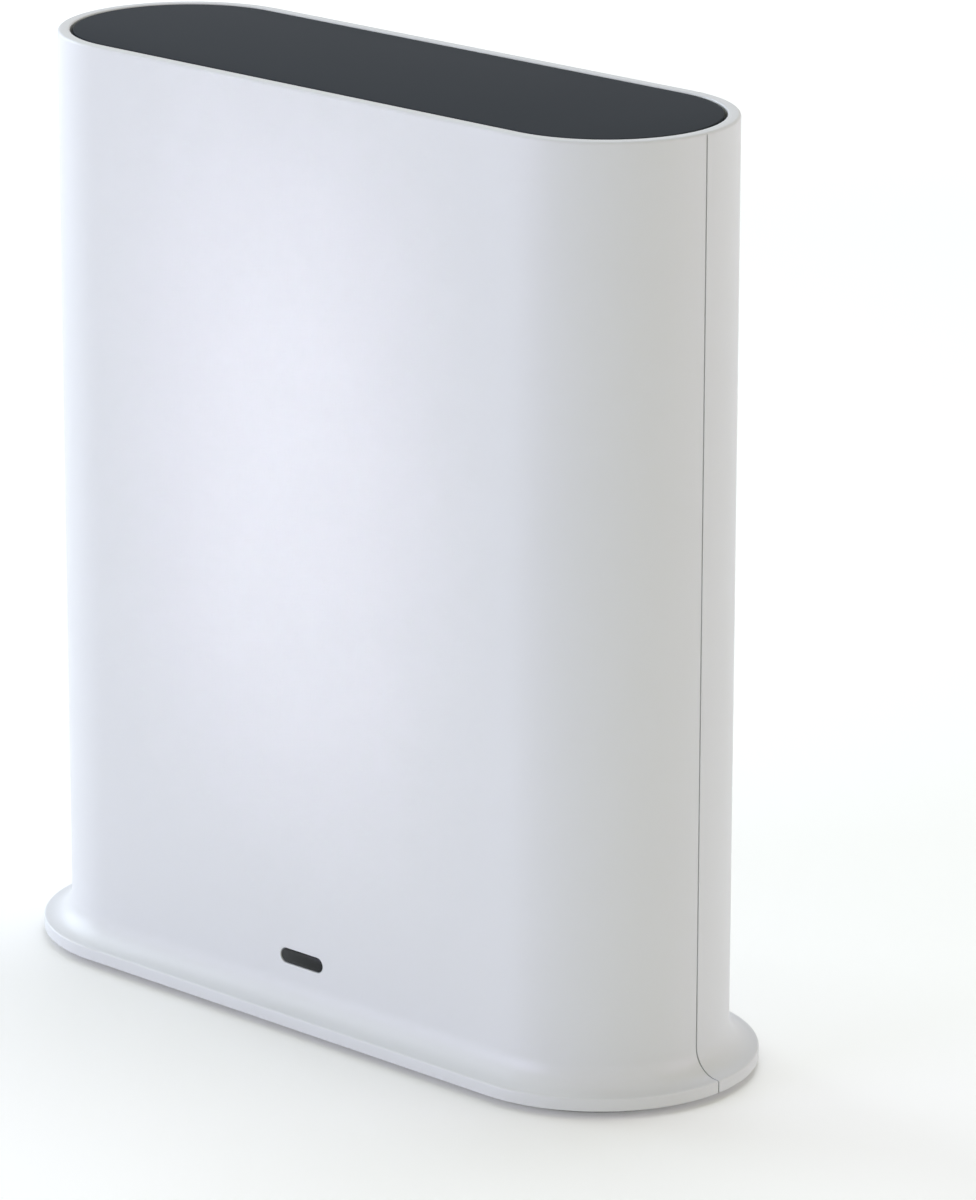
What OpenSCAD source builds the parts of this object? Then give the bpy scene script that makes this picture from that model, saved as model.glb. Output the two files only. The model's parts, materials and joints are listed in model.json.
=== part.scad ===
// Base station for wireless security cameras: a slim upright tower with round ends and a
// flared foot. The case is two half shells that meet on the mid-plane, held together by a base
// plate, a cap and interlocking lips. One upright circuit board carries the sockets and switches.
// The front faces -Y, +Z is up, and the origin is on the floor under the middle of the tower.

/* [Case] */
// Width of the body across its round ends
body_w = 128.8; // [116:0.2:150]
// Depth of the body from front to back
body_d = 40.8; // [40:0.2:52]
// Height of the whole station
overall_h = 150; // [140:1:180]
// Thickness of the case walls
wall = 2; // [1.6:0.1:2.6]
// Radius of the hollow curve that flares into the foot
flare_r = 4.3; // [3.4:0.1:6]
// Height of the upright edge round the foot
band_h = 2; // [1.8:0.1:3]
// Rounding on the edge of the foot
band_round = 0.3; // [0.2:0.05:0.6]
// Rounding on the outer edge of the rim
rim_round = 0.5; // [0.4:0.1:1.2]
// Rounding on the inner edge of the rim
rim_inner_round = 0.3; // [0.1:0.05:0.4]
// Open joint between the two half shells
seam_gap = 0.3; // [0.1:0.05:0.4]
// Thickness of the lip that bridges the joint
lip_t = 0.9; // [0.6:0.1:1.1]
// Reach of the lip past the joint
lip_reach = 1.8; // [1.2:0.1:2.4]

/* [Cap] */
// Depth of the cap below the rim
cap_recess = 0.05; // [0:0.05:0.4]
// Thickness of the cap
cap_t = 2; // [1.6:0.1:2.6]
// Gap between the cap and the rim
cap_gap = 0.5; // [0.3:0.05:0.7]
// Rounding on the edge of the cap
cap_round = 0.3; // [0.2:0.05:0.6]
// Depth of the skirt under the cap
cap_skirt_h = 4; // [3:0.5:6]
// Width of the ledge that carries the cap
ledge_w = 1.6; // [1.2:0.1:2.2]
// Thickness of the ledge that carries the cap
ledge_t = 1.5; // [1.2:0.1:2]

/* [Base] */
// Thickness of the rubber pad under the foot
foot_h = 1.2; // [1:0.1:2]
// Set-back of the rubber pad from the edge of the foot
foot_inset = 2.7; // [0.8:0.1:3.4]
// Depth of the label recess in the rubber pad
pad_recess = 0.5; // [0.3:0.1:0.8]
// Width of the rubber border round that recess
pad_border = 5; // [4:0.5:7]
// Thickness of the base plate
base_t = 1.8; // [1.6:0.1:2]
// Overlap of the base plate on the shells
base_overlap = 3; // [2:0.1:3.4]
// Length of the posts that take the case screws
post_l = 9; // [8:0.5:10]
// Radius of those posts
post_r = 3.2; // [3:0.1:3.6]

/* [Status window] */
// Width of the window
window_w = 9.2; // [8:0.1:12]
// Height of the window
window_h = 2.5; // [2:0.1:3]
// Height of the window's centre above the flare
window_up = 3.3; // [2:0.1:5]

/* [Board] */
// Thickness of the circuit board
board_t = 1.6; // [1.2:0.1:2]
// Space between the board's sides and the case
board_side_gap = 13; // [11:0.5:16]
// Space between the board and the base plate
board_foot_gap = 4; // [3:0.5:5]
// Radius of the pillars that carry the board
pillar_r = 3; // [2.6:0.1:3.4]

/* [Sockets] */
// Height of the row of sockets above the floor
port_z = 22; // [20:0.5:26]
// Reach of the sockets from the board to their mouths
port_depth = 14; // [13:0.5:15]
// Set-back of the socket mouths from the case's back
port_set = 0.4; // [0.2:0.1:0.8]
// Width of the network socket
net_w = 16; // [15.5:0.1:16.5]
// Height of the network socket
net_h = 13.4; // [13:0.1:14]
// Width of the drive socket
usb_w = 13.1; // [12.9:0.1:13.5]
// Height of the drive socket
usb_h = 5.7; // [5.6:0.1:6]
// Width and height of the power socket's body
dc_size = 10; // [9.5:0.1:10.5]
// Radius of the power socket's bore
dc_bore_r = 3.1; // [2.8:0.05:3.2]
// Radius of the power socket's centre pin
dc_pin_r = 1; // [0.8:0.05:1.2]

/* [Buttons] */
// Radius of the sync button
sync_r = 5; // [4:0.1:6]
// Distance from the board's top edge down to the sync button
sync_drop = 12; // [10:0.5:16]
// Travel of the sync button
sync_travel = 0.5; // [0.3:0.05:0.7]
// Travel of the reset switch
reset_travel = 0.3; // [0.2:0.05:0.4]
// Radius of the pinhole over the reset switch
reset_hole_r = 0.9; // [0.7:0.05:1.2]
// Width of a push switch
switch_w = 6; // [5.8:0.1:6.4]

/* [Vents] */
// Number of vent slots in the back
vent_count = 8; // [4:1:9]
// Length of a vent slot
vent_l = 52; // [30:1:60]
// Height of a vent slot
vent_h = 1.8; // [1.2:0.1:2.2]
// Distance from one vent slot to the next
vent_pitch = 5; // [4:0.25:5.5]

/* [Heat sink] */
// Width and height of the finned area
sink_w = 42; // [40:1:46]
// Thickness of the heat sink's base
sink_base = 2; // [1.5:0.1:3]
// Height of the fins
fin_h = 8; // [5:0.5:9]
// Thickness of a fin
fin_t = 1.2; // [1:0.1:1.6]
// Number of fins
fin_count = 9; // [6:1:10]

/* [Antennas] */
// Distance from the ledge down to the antenna tray
tray_drop = 24; // [20:0.5:26]
// Thickness of the antenna tray
tray_t = 1.6; // [1.2:0.1:2]
// Length of an antenna board
antenna_l = 42; // [36:1:46]
// Height of an antenna board
antenna_h = 14; // [10:0.5:14]
// Thickness of an antenna board
antenna_t = 0.8; // [0.6:0.1:1]
// Diameter of an antenna lead
lead_d = 1.2; // [1:0.1:1.4]

/* [Hidden] */
$fn = 64;

// Clearances
fit = 0.1;              // between parts that slip together
slip = 0.05;            // round a pin or a screw thread
run = 0.25;             // round a part that moves, and round the sockets in the back
tool = 1;               // reach of a cut past the face that it starts from

// Case
end_r = body_d / 2;
half_x = body_w / 2 - end_r;
inner_r = end_r - wall;
foot_r = end_r + flare_r + band_round;
band_z = foot_h + band_h;
flare_z = band_z + flare_r;
cap_z = overall_h - cap_recess;
ledge_z = cap_z - cap_t;
cap_r = inner_r - cap_gap;
skirt_r = inner_r - ledge_w - fit;
skirt_t = 1.2;
lip_low = flare_z;
lip_high = ledge_z - ledge_t - tool;
lip_turn = lip_reach / inner_r * 180 / PI;
lip_root = 3;           // degrees of the lip inside its own shell

// Base
base_z = foot_h + base_t;
base_r = inner_r + base_overlap;
pad_r = foot_r - foot_inset;
post_in = 12;           // from the start of the round ends
post_off_wall = 1.6;
post_x = half_x - post_in;
post_y = inner_r - post_r - post_off_wall;
screw_r = 1.2;
screw_head_r = 2.2;
screw_head_h = 1;
screw_l = 7;
driver_r = 1.1;
driver_depth = 0.6;

// Board, measured back from the socket mouths
mouth_y = end_r - port_set;
board_back = mouth_y - port_depth;
board_front = board_back - board_t;
board_low = base_z + board_foot_gap;
tray_z = ledge_z - tray_drop;
board_head_gap = 3;     // between the board and the antenna tray
board_high = tray_z - board_head_gap;
board_w = body_w - 2 * wall - 2 * board_side_gap;
pillar_in = 4;          // from the start of the round ends
pillar_edge = 7;        // from the board's lower and upper edges
pillar_x = half_x - pillar_in;
pillar_low = board_low + pillar_edge;
pillar_high = board_high - pillar_edge;
board_screw_r = 1;
board_screw_l = 6;
board_screw_head_r = 2;
board_screw_head_h = 1.4;

// Status light
window_z = flare_z + window_up;
window_half = (window_w - window_h) / 2;
window_r = window_h / 2;
window_flange = 0.8;
pipe_r = window_r + window_flange - fit;
sleeve_r = window_r + window_flange + fit;
sleeve_t = 1.2;
sleeve_l = 9;
led_w = 3.5;
led_h = 2.8;
led_t = 1.9;
led_gap = 0.3;

// Sockets along the back
sheet = 0.3;
net_x = 2;
socket_gap = 6;         // from one socket to the next
reset_space = 3;        // from the drive socket to the reset switch
dc_x = net_x + net_w / 2 + socket_gap + dc_size / 2;
usb_x = net_x - net_w / 2 - socket_gap - usb_w / 2;
reset_x = usb_x - usb_w / 2 - reset_space - switch_w / 2;
dc_collar_r = 4.5;
dc_bore_l = 10;
dc_pin_set = 1.5;       // from the socket's mouth
net_plug_w = 11.8;
net_plug_h = 6.8;
net_plug_l = 11.5;
net_plug_up = 1.3;
net_latch_w = 6.4;
net_latch_h = 2;
net_contact_count = 8;
net_contact_pitch = 1.02;
net_contact_w = 0.45;
net_contact_t = 0.35;
net_contact_drop = 1.6;
net_contact_set = 1.5;  // from the socket's mouth
usb_back_l = 4;
usb_tongue_t = 2;
usb_tongue_inset = 0.6;
usb_contact_w = 1;
usb_contact_t = 0.25;
usb_contact_set = 2;    // from the socket's mouth
usb_contact_x = [-3.5, -1, 1, 3.5];
usb_tongue_set = 1;     // from the socket's mouth

// Switches and buttons
sync_z = board_high - sync_drop;
switch_h = 3.5;
switch_nub_r = 1.75;
switch_nub_out = 1.5;
switch_bore_l = 2.6;
sync_flange = 1.5;
sync_flange_t = 1.2;
sync_stem_r = 2;
sync_dish_r = 24;
sync_dish = 0.4;
collar_t = 1.2;
collar_l = 4.5;
reset_gap = 0.8;

// Radios, below the antenna plugs and inside the board screws
radio_w = 28;
radio_h = 18;
radio_drop = 20.5;      // from the board's upper edge
radio_gap = 1.2;        // to the heads of the board screws
radio_x = pillar_x - board_screw_head_r - radio_gap - radio_w / 2;
radio_z = board_high - radio_drop;
radio_t = 2.4;
radio_sheet = 0.25;
radio_chip_w = 7;
radio_chip_t = 0.9;

// Heat sink and chips, midway between the board's lower edge and the radios
sink_z = (board_low + radio_z - radio_h / 2) / 2;
chip_w = 18;
chip_t = 1.4;
pad_t = 0.5;
sink_face = board_front - chip_t - pad_t;
sink_ear = 7;
sink_pin_x = sink_w / 2 + sink_ear / 2;
sink_pin_r = 1.4;
sink_pin_head_r = 2.6;
sink_pin_head_h = 1.5;
sink_pin_barb_r = 2;
memory_w = 9;
memory_h = 13;
memory_t = 1;
memory_x = 15;

// Parts on the back of the board, in a row above the sockets
back_row_up = 17;
back_row_z = port_z + back_row_up;
coil_w = 7;
coil_t = 4.5;
coil_count = 2;
coil_in = 18.4;         // from the board's left side
coil_pitch = 10;
can_r = 3.15;
can_h = 7.7;
can_count = 3;
can_in = 13.4;          // from the board's right side
can_pitch = 8;
transformer_w = 16;
transformer_h = 11;
transformer_t = 6;

// Antennas
tray_gap = 0.3;         // to the case walls
tray_r = inner_r - tray_gap;
tray_top = tray_z + tray_t;
shelf_x = half_x - post_in;
shelf_w = 9;
shelf_t = 2.5;
shelf_in = 8;
shelf_screw_in = 5.5;   // from the back wall
shelf_screw_y = inner_r - shelf_screw_in;
tray_screw_l = 5;
antenna_in = 11;        // from the start of the round ends
antenna_mid = half_x - antenna_in;
antenna_post_w = 3;
antenna_post_d = 4;
antenna_post_h = 7;
antenna_y = 0;
lead_x = antenna_mid;
lead_y = antenna_y - antenna_t / 2 - lead_d / 2 - slip;
lead_up = 6;
plug_drop = 8.5;        // from the board's upper edge
plug_z = board_high - plug_drop;
plug_r = 1.3;
plug_t = 1.4;
lead_low_y = board_front - lead_d / 2 - fit;
lead_rise = 1.5;        // straight stretch above the plug
lead_bend_r = 4;
lead_sides = 12;
lead_steps = 6;         // rings in one bend
lead_turn = acos(1 - (lead_low_y - lead_y) / (2 * lead_bend_r));
lead_bend_low = plug_z + plug_r + lead_rise;
lead_bend_high = lead_bend_low + 2 * lead_bend_r * sin(lead_turn);

// Outline with round ends, centred on the origin
module obround(half, r) {
    square([2 * half, 2 * r], center = true);
    for (side = [-1, 1]) translate([side * half, 0]) circle(r);
}

// Cut that rounds an outer corner at a point; dx and dy are 1 or -1 towards the outside
module round_off(at, r, dx, dy) {
    translate([at[0] - dx * r, at[1] - dy * r]) difference() {
        translate([dx > 0 ? 0 : -r - tool, dy > 0 ? 0 : -r - tool]) square(r + tool);
        circle(r);
    }
}

// Front half of a band that follows the case outline. The child is its section, with the
// distance from the spine along X and the height along Y
module front_sweep() {
    translate([half_x, 0, 0]) rotate([0, 0, -90]) rotate_extrude(angle = 90) children();
    translate([-half_x, 0, 0]) rotate([0, 0, 180]) rotate_extrude(angle = 90) children();
    translate([half_x, 0, 0]) rotate([90, 0, -90]) linear_extrude(2 * half_x) children();
}

// Whole band or plate that follows the case outline
module full_sweep() {
    front_sweep() children();
    mirror([0, 1, 0]) front_sweep() children();
}

// Upright prism along +Y from y0 to y1, of the outline that the child draws in X and Z
module along_y(y0, y1) {
    translate([0, y1, 0]) rotate([90, 0, 0]) linear_extrude(y1 - y0) children();
}

// Block with its size in X and Z centred on a point, from y0 to y1
module block(x, z, w, h, y0, y1) {
    translate([x - w / 2, y0, z - h / 2]) cube([w, y1 - y0, h]);
}

// Round rod along Y
module rod(x, z, r, y0, y1) {
    translate([x, y1, z]) rotate([90, 0, 0]) cylinder(h = y1 - y0, r = r);
}

// Screw that points along +Z, with its head's seat at the origin and a recess for the driver
module screw(r, l, head_r, head_h) {
    cylinder(h = l, r = r);
    translate([0, 0, -head_h]) difference() {
        cylinder(h = head_h, r = head_r);
        translate([0, 0, -tool]) cylinder(h = driver_depth + tool, r = driver_r, $fn = 6);
    }
}

// Section of the case wall, from the flared foot to the rim
module wall_section() {
    difference() {
        union() {
            translate([inner_r, foot_h]) square([wall, overall_h - foot_h]);
            difference() {
                translate([inner_r, foot_h]) square([foot_r - inner_r, flare_z - foot_h]);
                translate([end_r + flare_r, flare_z]) circle(flare_r);
                translate([end_r + flare_r, band_z]) square([band_round + tool, flare_r + tool]);
            }
            translate([inner_r - ledge_w, ledge_z - ledge_t]) square([ledge_w + wall / 2, ledge_t]);
        }
        round_off([end_r, overall_h], rim_round, 1, 1);
        round_off([inner_r, overall_h], rim_inner_round, -1, 1);
        round_off([foot_r, band_z], band_round, 1, 1);
        translate([inner_r - tool, foot_h - tool]) square([base_overlap + fit + tool, base_t + tool]);
    }
}

// Section of the lip, or of the rebate that takes it when grown by a clearance
module lip_section(grow) {
    translate([inner_r - grow, lip_low - grow])
        square([lip_t + 2 * grow, lip_high - lip_low + 2 * grow]);
}

// The lip at both ends, from start to stop degrees behind the joint
module lips(grow, start, stop) {
    for (side = [0, 1]) mirror([side, 0, 0]) translate([half_x, 0, 0])
        rotate([0, 0, start]) rotate_extrude(angle = stop - start) lip_section(grow);
}

// Posts that take the case screws, on the front or back wall
module case_posts(side) {
    for (x = [-post_x, post_x]) difference() {
        union() {
            translate([x, side * post_y, base_z]) cylinder(h = post_l, r = post_r);
            translate([x - post_r / 2, side > 0 ? post_y : -inner_r - wall / 2, base_z])
                cube([post_r, inner_r + wall / 2 - post_y, post_l]);
        }
        translate([x, side * post_y, base_z - tool]) cylinder(h = screw_l + tool, r = screw_r + slip);
    }
}

// Shelves that carry the antenna tray, on the front or back wall
module tray_shelves(side) {
    for (x = [-shelf_x, shelf_x]) difference() {
        translate([x - shelf_w / 2, side > 0 ? shelf_in : -inner_r - wall / 2, tray_z - shelf_t])
            cube([shelf_w, inner_r + wall / 2 - shelf_in, shelf_t]);
        if (side > 0) translate([x, shelf_screw_y, tray_z - shelf_t - tool])
            cylinder(h = shelf_t + 2 * tool, r = board_screw_r + slip);
    }
}

module front_shell() {
    color("whitesmoke") difference() {
        union() {
            difference() {
                front_sweep() wall_section();
                translate([-body_w, -seam_gap / 2, 0]) cube([2 * body_w, body_d, overall_h]);
            }
            lips(0, -lip_root, lip_turn);
            case_posts(-1);
            tray_shelves(-1);
            along_y(-inner_r - wall / 2, -inner_r + sleeve_l) translate([0, window_z])
                obround(window_half, sleeve_r + sleeve_t);
        }
        along_y(-end_r - tool, -inner_r + tool) translate([0, window_z]) obround(window_half, window_r);
        along_y(-inner_r, -inner_r + sleeve_l + tool) translate([0, window_z])
            obround(window_half, sleeve_r);
    }
}

// Pillars that carry the board off the back wall
module board_pillars() {
    for (x = [-pillar_x, pillar_x], z = [pillar_low, pillar_high]) difference() {
        rod(x, z, pillar_r, board_back, inner_r + wall / 2);
        rod(x, z, board_screw_r + slip, board_back - tool, board_back + board_screw_l);
    }
}

module rear_shell() {
    vent_low = (port_z + sync_z) / 2 - (vent_count - 1) * vent_pitch / 2;
    color("whitesmoke") difference() {
        union() {
            difference() {
                mirror([0, 1, 0]) front_sweep() wall_section();
                translate([-body_w, seam_gap / 2 - body_d, 0]) cube([2 * body_w, body_d, overall_h]);
            }
            case_posts(1);
            tray_shelves(1);
            board_pillars();
            rod(0, sync_z, sync_r + sync_flange + run + collar_t, inner_r - collar_l, inner_r + wall / 2);
        }
        lips(fit, -lip_root, lip_turn + 1);
        rod(0, sync_z, sync_r + sync_flange + run, inner_r - collar_l - tool, inner_r);
        rod(0, sync_z, sync_r + run, inner_r - tool, end_r + tool);
        rod(reset_x, port_z, reset_hole_r, inner_r - tool, end_r + tool);
        rod(dc_x, port_z, dc_collar_r + run, inner_r - tool, end_r + tool);
        block(net_x, port_z, net_w + 2 * run, net_h + 2 * run, inner_r - tool, end_r + tool);
        block(usb_x, port_z, usb_w + 2 * run, usb_h + 2 * run, inner_r - tool, end_r + tool);
        for (i = [0 : vent_count - 1])
            along_y(inner_r - tool, end_r + tool) translate([0, vent_low + i * vent_pitch])
                obround((vent_l - vent_h) / 2, vent_h / 2);
    }
}

module top_cap() {
    color("darkslategray") {
        full_sweep() difference() {
            translate([0, ledge_z]) square([cap_r, cap_t]);
            round_off([cap_r, cap_z], cap_round, 1, 1);
        }
        full_sweep() translate([skirt_r - skirt_t, ledge_z - cap_skirt_h]) square([skirt_t, cap_skirt_h]);
    }
}

module base_plate() {
    color("gainsboro") difference() {
        full_sweep() translate([0, foot_h]) square([base_r, base_t]);
        for (x = [-post_x, post_x], y = [-post_y, post_y]) translate([x, y, foot_h - tool]) {
            cylinder(h = base_t + 2 * tool, r = screw_r + fit);
            cylinder(h = screw_head_h + tool, r = screw_head_r + fit);
        }
    }
}

module foot_pad() {
    color("dimgray") difference() {
        full_sweep() square([pad_r, foot_h]);
        full_sweep() translate([0, -tool]) square([pad_r - pad_border, pad_recess + tool]);
    }
}

module case_screws() {
    color("silver") for (x = [-post_x, post_x], y = [-post_y, post_y])
        translate([x, y, foot_h + screw_head_h]) screw(screw_r, screw_l - slip, screw_head_r, screw_head_h);
}

module status_window() {
    color("black") translate([0, 0, window_z]) {
        along_y(-end_r + fit, -inner_r) obround(window_half, window_r - fit);
        along_y(-inner_r, -inner_r + window_flange) obround(window_half, window_r + window_flange);
    }
}

module light_pipe() {
    color("aliceblue") translate([0, 0, window_z])
        along_y(-inner_r + window_flange + slip, board_front - led_t - led_gap) obround(window_half, pipe_r);
}

module main_board() {
    color("darkgreen") difference() {
        translate([-board_w / 2, board_front, board_low]) cube([board_w, board_t, board_high - board_low]);
        for (x = [-pillar_x, pillar_x], z = [pillar_low, pillar_high])
            rod(x, z, board_screw_r + fit, board_front - tool, board_back + tool);
        for (x = [-sink_pin_x, sink_pin_x])
            rod(x, sink_z, sink_pin_r + fit, board_front - tool, board_back + tool);
    }
}

module board_screws() {
    color("silver") for (x = [-pillar_x, pillar_x], z = [pillar_low, pillar_high])
        translate([x, board_front, z]) rotate([-90, 0, 0])
            screw(board_screw_r, board_t + board_screw_l - slip, board_screw_head_r, board_screw_head_h);
}

module status_led() {
    color("ivory") block(0, window_z, led_w, led_h, board_front - led_t, board_front);
}

module processor() {
    color("black") block(0, sink_z, chip_w, chip_w, board_front - chip_t, board_front);
}

module memory_chips() {
    color("black") for (x = [-memory_x, memory_x])
        block(x, sink_z, memory_w, memory_h, board_front - memory_t, board_front);
}

module thermal_pad() {
    color("lightsteelblue") block(0, sink_z, chip_w, chip_w, sink_face, board_front - chip_t);
}

module heat_sink() {
    fin_pitch = (sink_w - fin_t) / (fin_count - 1);
    color("silver") difference() {
        union() {
            block(0, sink_z, sink_w + 2 * sink_ear, sink_w, sink_face - sink_base, sink_face);
            for (i = [0 : fin_count - 1])
                block(-sink_w / 2 + fin_t / 2 + i * fin_pitch, sink_z, fin_t, sink_w,
                    sink_face - sink_base - fin_h, sink_face - sink_base / 2);
        }
        for (x = [-sink_pin_x, sink_pin_x])
            rod(x, sink_z, sink_pin_r + fit, sink_face - sink_base - tool, sink_face + tool);
    }
}

module heat_sink_pins() {
    pin_front = sink_face - sink_base;
    color("white") for (x = [-sink_pin_x, sink_pin_x]) {
        rod(x, sink_z, sink_pin_r, pin_front, board_back);
        rod(x, sink_z, sink_pin_head_r, pin_front - sink_pin_head_h, pin_front);
        rod(x, sink_z, sink_pin_barb_r, board_back, board_back + sink_pin_head_h);
    }
}

module radio_shield(x) {
    color("silver") difference() {
        block(x, radio_z, radio_w, radio_h, board_front - radio_t, board_front);
        block(x, radio_z, radio_w - 2 * radio_sheet, radio_h - 2 * radio_sheet,
            board_front - radio_t + radio_sheet, board_front + tool);
    }
}

module radio_chips() {
    color("black") for (x = [-radio_x, radio_x])
        block(x, radio_z, radio_chip_w, radio_chip_w, board_front - radio_chip_t, board_front);
}

module network_shield() {
    color("silver") difference() {
        block(net_x, port_z, net_w, net_h, board_back, mouth_y);
        block(net_x, port_z, net_w - 2 * sheet, net_h - 2 * sheet, board_back - tool, mouth_y + tool);
    }
}

module network_insert() {
    roof = port_z + net_plug_up + net_plug_h / 2;
    color("black") difference() {
        block(net_x, port_z, net_w - 2 * sheet - 2 * slip, net_h - 2 * sheet - 2 * slip, board_back, mouth_y);
        block(net_x, roof - net_plug_h / 2, net_plug_w, net_plug_h, mouth_y - net_plug_l, mouth_y + tool);
        block(net_x, roof - net_plug_h, net_latch_w, 2 * net_latch_h, mouth_y - net_plug_l, mouth_y + tool);
    }
}

module network_contacts() {
    roof = port_z + net_plug_up + net_plug_h / 2;
    back = mouth_y - net_plug_l;
    reach = net_plug_l - net_contact_set;
    first_x = net_x - net_contact_w / 2 - (net_contact_count - 1) / 2 * net_contact_pitch;
    color("gold") for (i = [0 : net_contact_count - 1])
        translate([first_x + i * net_contact_pitch, back, roof])
            rotate([90, 0, 90]) linear_extrude(net_contact_w) polygon([
                [reach, 0], [reach, -net_contact_t], [net_contact_t, -net_contact_drop],
                [0, -net_contact_drop], [0, -net_contact_drop + net_contact_t], [reach - tool, 0]
            ]);
}

module network_transformer() {
    color("black")
        block(net_x, back_row_z, transformer_w, transformer_h, board_back, board_back + transformer_t);
}

module usb_shell() {
    color("silver") difference() {
        block(usb_x, port_z, usb_w, usb_h, board_back, mouth_y);
        block(usb_x, port_z, usb_w - 2 * sheet, usb_h - 2 * sheet, board_back - tool, mouth_y + tool);
    }
}

// Underside of the drive socket's tongue
function usb_tongue_low() = port_z + usb_h / 2 - sheet - usb_tongue_inset - usb_tongue_t;

module usb_tongue() {
    plug_w = usb_w - 2 * sheet - 2 * slip;
    color("black") {
        block(usb_x, port_z, plug_w, usb_h - 2 * sheet - 2 * slip, board_back, board_back + usb_back_l);
        block(usb_x, usb_tongue_low() + usb_tongue_t / 2, plug_w - 2 * usb_tongue_inset, usb_tongue_t,
            board_back + usb_back_l - tool, mouth_y - usb_tongue_set);
    }
}

module usb_contacts() {
    color("gold") for (x = usb_contact_x)
        block(usb_x + x, usb_tongue_low() - usb_contact_t / 2, usb_contact_w, usb_contact_t,
            board_back + usb_back_l, mouth_y - usb_contact_set);
}

module power_socket() {
    color("black") difference() {
        union() {
            block(dc_x, port_z, dc_size, dc_size, board_back, inner_r - run);
            rod(dc_x, port_z, dc_collar_r, board_back + tool, mouth_y);
        }
        rod(dc_x, port_z, dc_bore_r, mouth_y - dc_bore_l, mouth_y + tool);
    }
}

module power_pin() {
    tip = mouth_y - dc_pin_set;
    color("silver") {
        rod(dc_x, port_z, dc_pin_r, mouth_y - dc_bore_l, tip - dc_pin_r);
        translate([dc_x, tip - dc_pin_r, port_z]) sphere(dc_pin_r);
    }
}

module capacitors() {
    color("silver") for (i = [0 : can_count - 1])
        rod(board_w / 2 - can_in - i * can_pitch, back_row_z, can_r, board_back, board_back + can_h);
}

module power_coils() {
    color("dimgray") for (i = [0 : coil_count - 1])
        block(coil_in + i * coil_pitch - board_w / 2, back_row_z, coil_w, coil_w,
            board_back, board_back + coil_t);
}

// Push switch without its plunger
module push_switch(x, z) {
    color("dimgray") difference() {
        block(x, z, switch_w, switch_w, board_back, board_back + switch_h);
        rod(x, z, switch_nub_r + slip, board_back + switch_h - switch_bore_l, board_back + switch_h + tool);
    }
}

module sync_button() {
    flange_y = inner_r - run;
    color("white") difference() {
        union() {
            rod(0, sync_z, sync_r, flange_y - sync_flange_t, end_r);
            rod(0, sync_z, sync_r + sync_flange, flange_y - sync_flange_t, flange_y);
            rod(0, sync_z, sync_stem_r, board_back + switch_h + switch_nub_out + slip, flange_y);
        }
        translate([0, end_r - sync_dish + sync_dish_r, sync_z]) sphere(sync_dish_r);
    }
}

module sync_plunger() {
    color("black") rod(0, sync_z, switch_nub_r,
        board_back + switch_h - switch_bore_l + sync_travel + fit, board_back + switch_h + switch_nub_out);
}

module reset_plunger() {
    color("black") rod(reset_x, port_z, switch_nub_r,
        board_back + switch_h - switch_bore_l + reset_travel + fit, inner_r - reset_gap);
}

module antenna_tray() {
    slot = antenna_t + 2 * fit;
    color("gainsboro") difference() {
        union() {
            full_sweep() translate([0, tray_z]) square([tray_r, tray_t]);
            for (side = [-1, 1], end = [-1, 1])
                translate([side * antenna_mid + end * (antenna_l / 2 - antenna_post_w) - antenna_post_w / 2,
                    antenna_y - antenna_post_d / 2, tray_top - tray_t / 2])
                    cube([antenna_post_w, antenna_post_d, antenna_post_h + tray_t / 2]);
        }
        for (side = [-1, 1]) {
            translate([side * antenna_mid - antenna_l / 2 - fit, antenna_y - slot / 2, tray_top])
                cube([antenna_l + 2 * fit, slot, antenna_h]);
            translate([side * lead_x, lead_y, tray_z - tool]) cylinder(h = tray_t + 2 * tool, r = lead_d);
            translate([side * shelf_x, shelf_screw_y, tray_z - tool])
                cylinder(h = tray_t + 2 * tool, r = board_screw_r + fit);
        }
    }
}

module tray_screws() {
    color("silver") for (x = [-shelf_x, shelf_x])
        translate([x, shelf_screw_y, tray_top]) rotate([180, 0, 0])
            screw(board_screw_r, tray_screw_l, board_screw_head_r, board_screw_head_h);
}

module antenna(side) {
    color("darkgreen") translate([side * antenna_mid - antenna_l / 2, antenna_y - antenna_t / 2, tray_top])
        cube([antenna_l, antenna_t, antenna_h]);
}

// Route of a lead in the upright plane: depth, height and lean at each ring. It leaves the plug
// upwards, leans towards the antenna and stands upright again
function lead_route() = concat(
    [[lead_low_y, plug_z + plug_r + slip, 0]],
    [for (i = [0 : lead_steps]) let (lean = lead_turn * i / lead_steps)
        [lead_low_y - lead_bend_r * (1 - cos(lean)), lead_bend_low + lead_bend_r * sin(lean), lean]],
    [for (i = [lead_steps - 1 : -1 : 0]) let (lean = lead_turn * i / lead_steps)
        [lead_y + lead_bend_r * (1 - cos(lean)), lead_bend_high - lead_bend_r * sin(lean), lean]],
    [[lead_y, tray_top + lead_up, 0]]
);

// Round lead, swept ring by ring along its route at a given place across the board
module antenna_lead(side) {
    route = lead_route();
    last = len(route) - 1;
    rings = [for (spot = route, k = [0 : lead_sides - 1]) let (turn = 360 * k / lead_sides)
        [side * lead_x + lead_d / 2 * cos(turn),
            spot[0] + lead_d / 2 * sin(turn) * cos(spot[2]),
            spot[1] + lead_d / 2 * sin(turn) * sin(spot[2])]];
    walls = [for (i = [0 : last - 1], k = [0 : lead_sides - 1]) let (next = (k + 1) % lead_sides)
        [i * lead_sides + k, (i + 1) * lead_sides + k, (i + 1) * lead_sides + next, i * lead_sides + next]];
    ends = [
        [for (k = [0 : lead_sides - 1]) k],
        [for (k = [lead_sides - 1 : -1 : 0]) last * lead_sides + k]
    ];
    color("black") polyhedron(rings, concat(walls, ends));
}

module antenna_plugs() {
    color("gold") for (side = [-1, 1]) rod(side * lead_x, plug_z, plug_r, board_front - plug_t, board_front);
}

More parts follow.
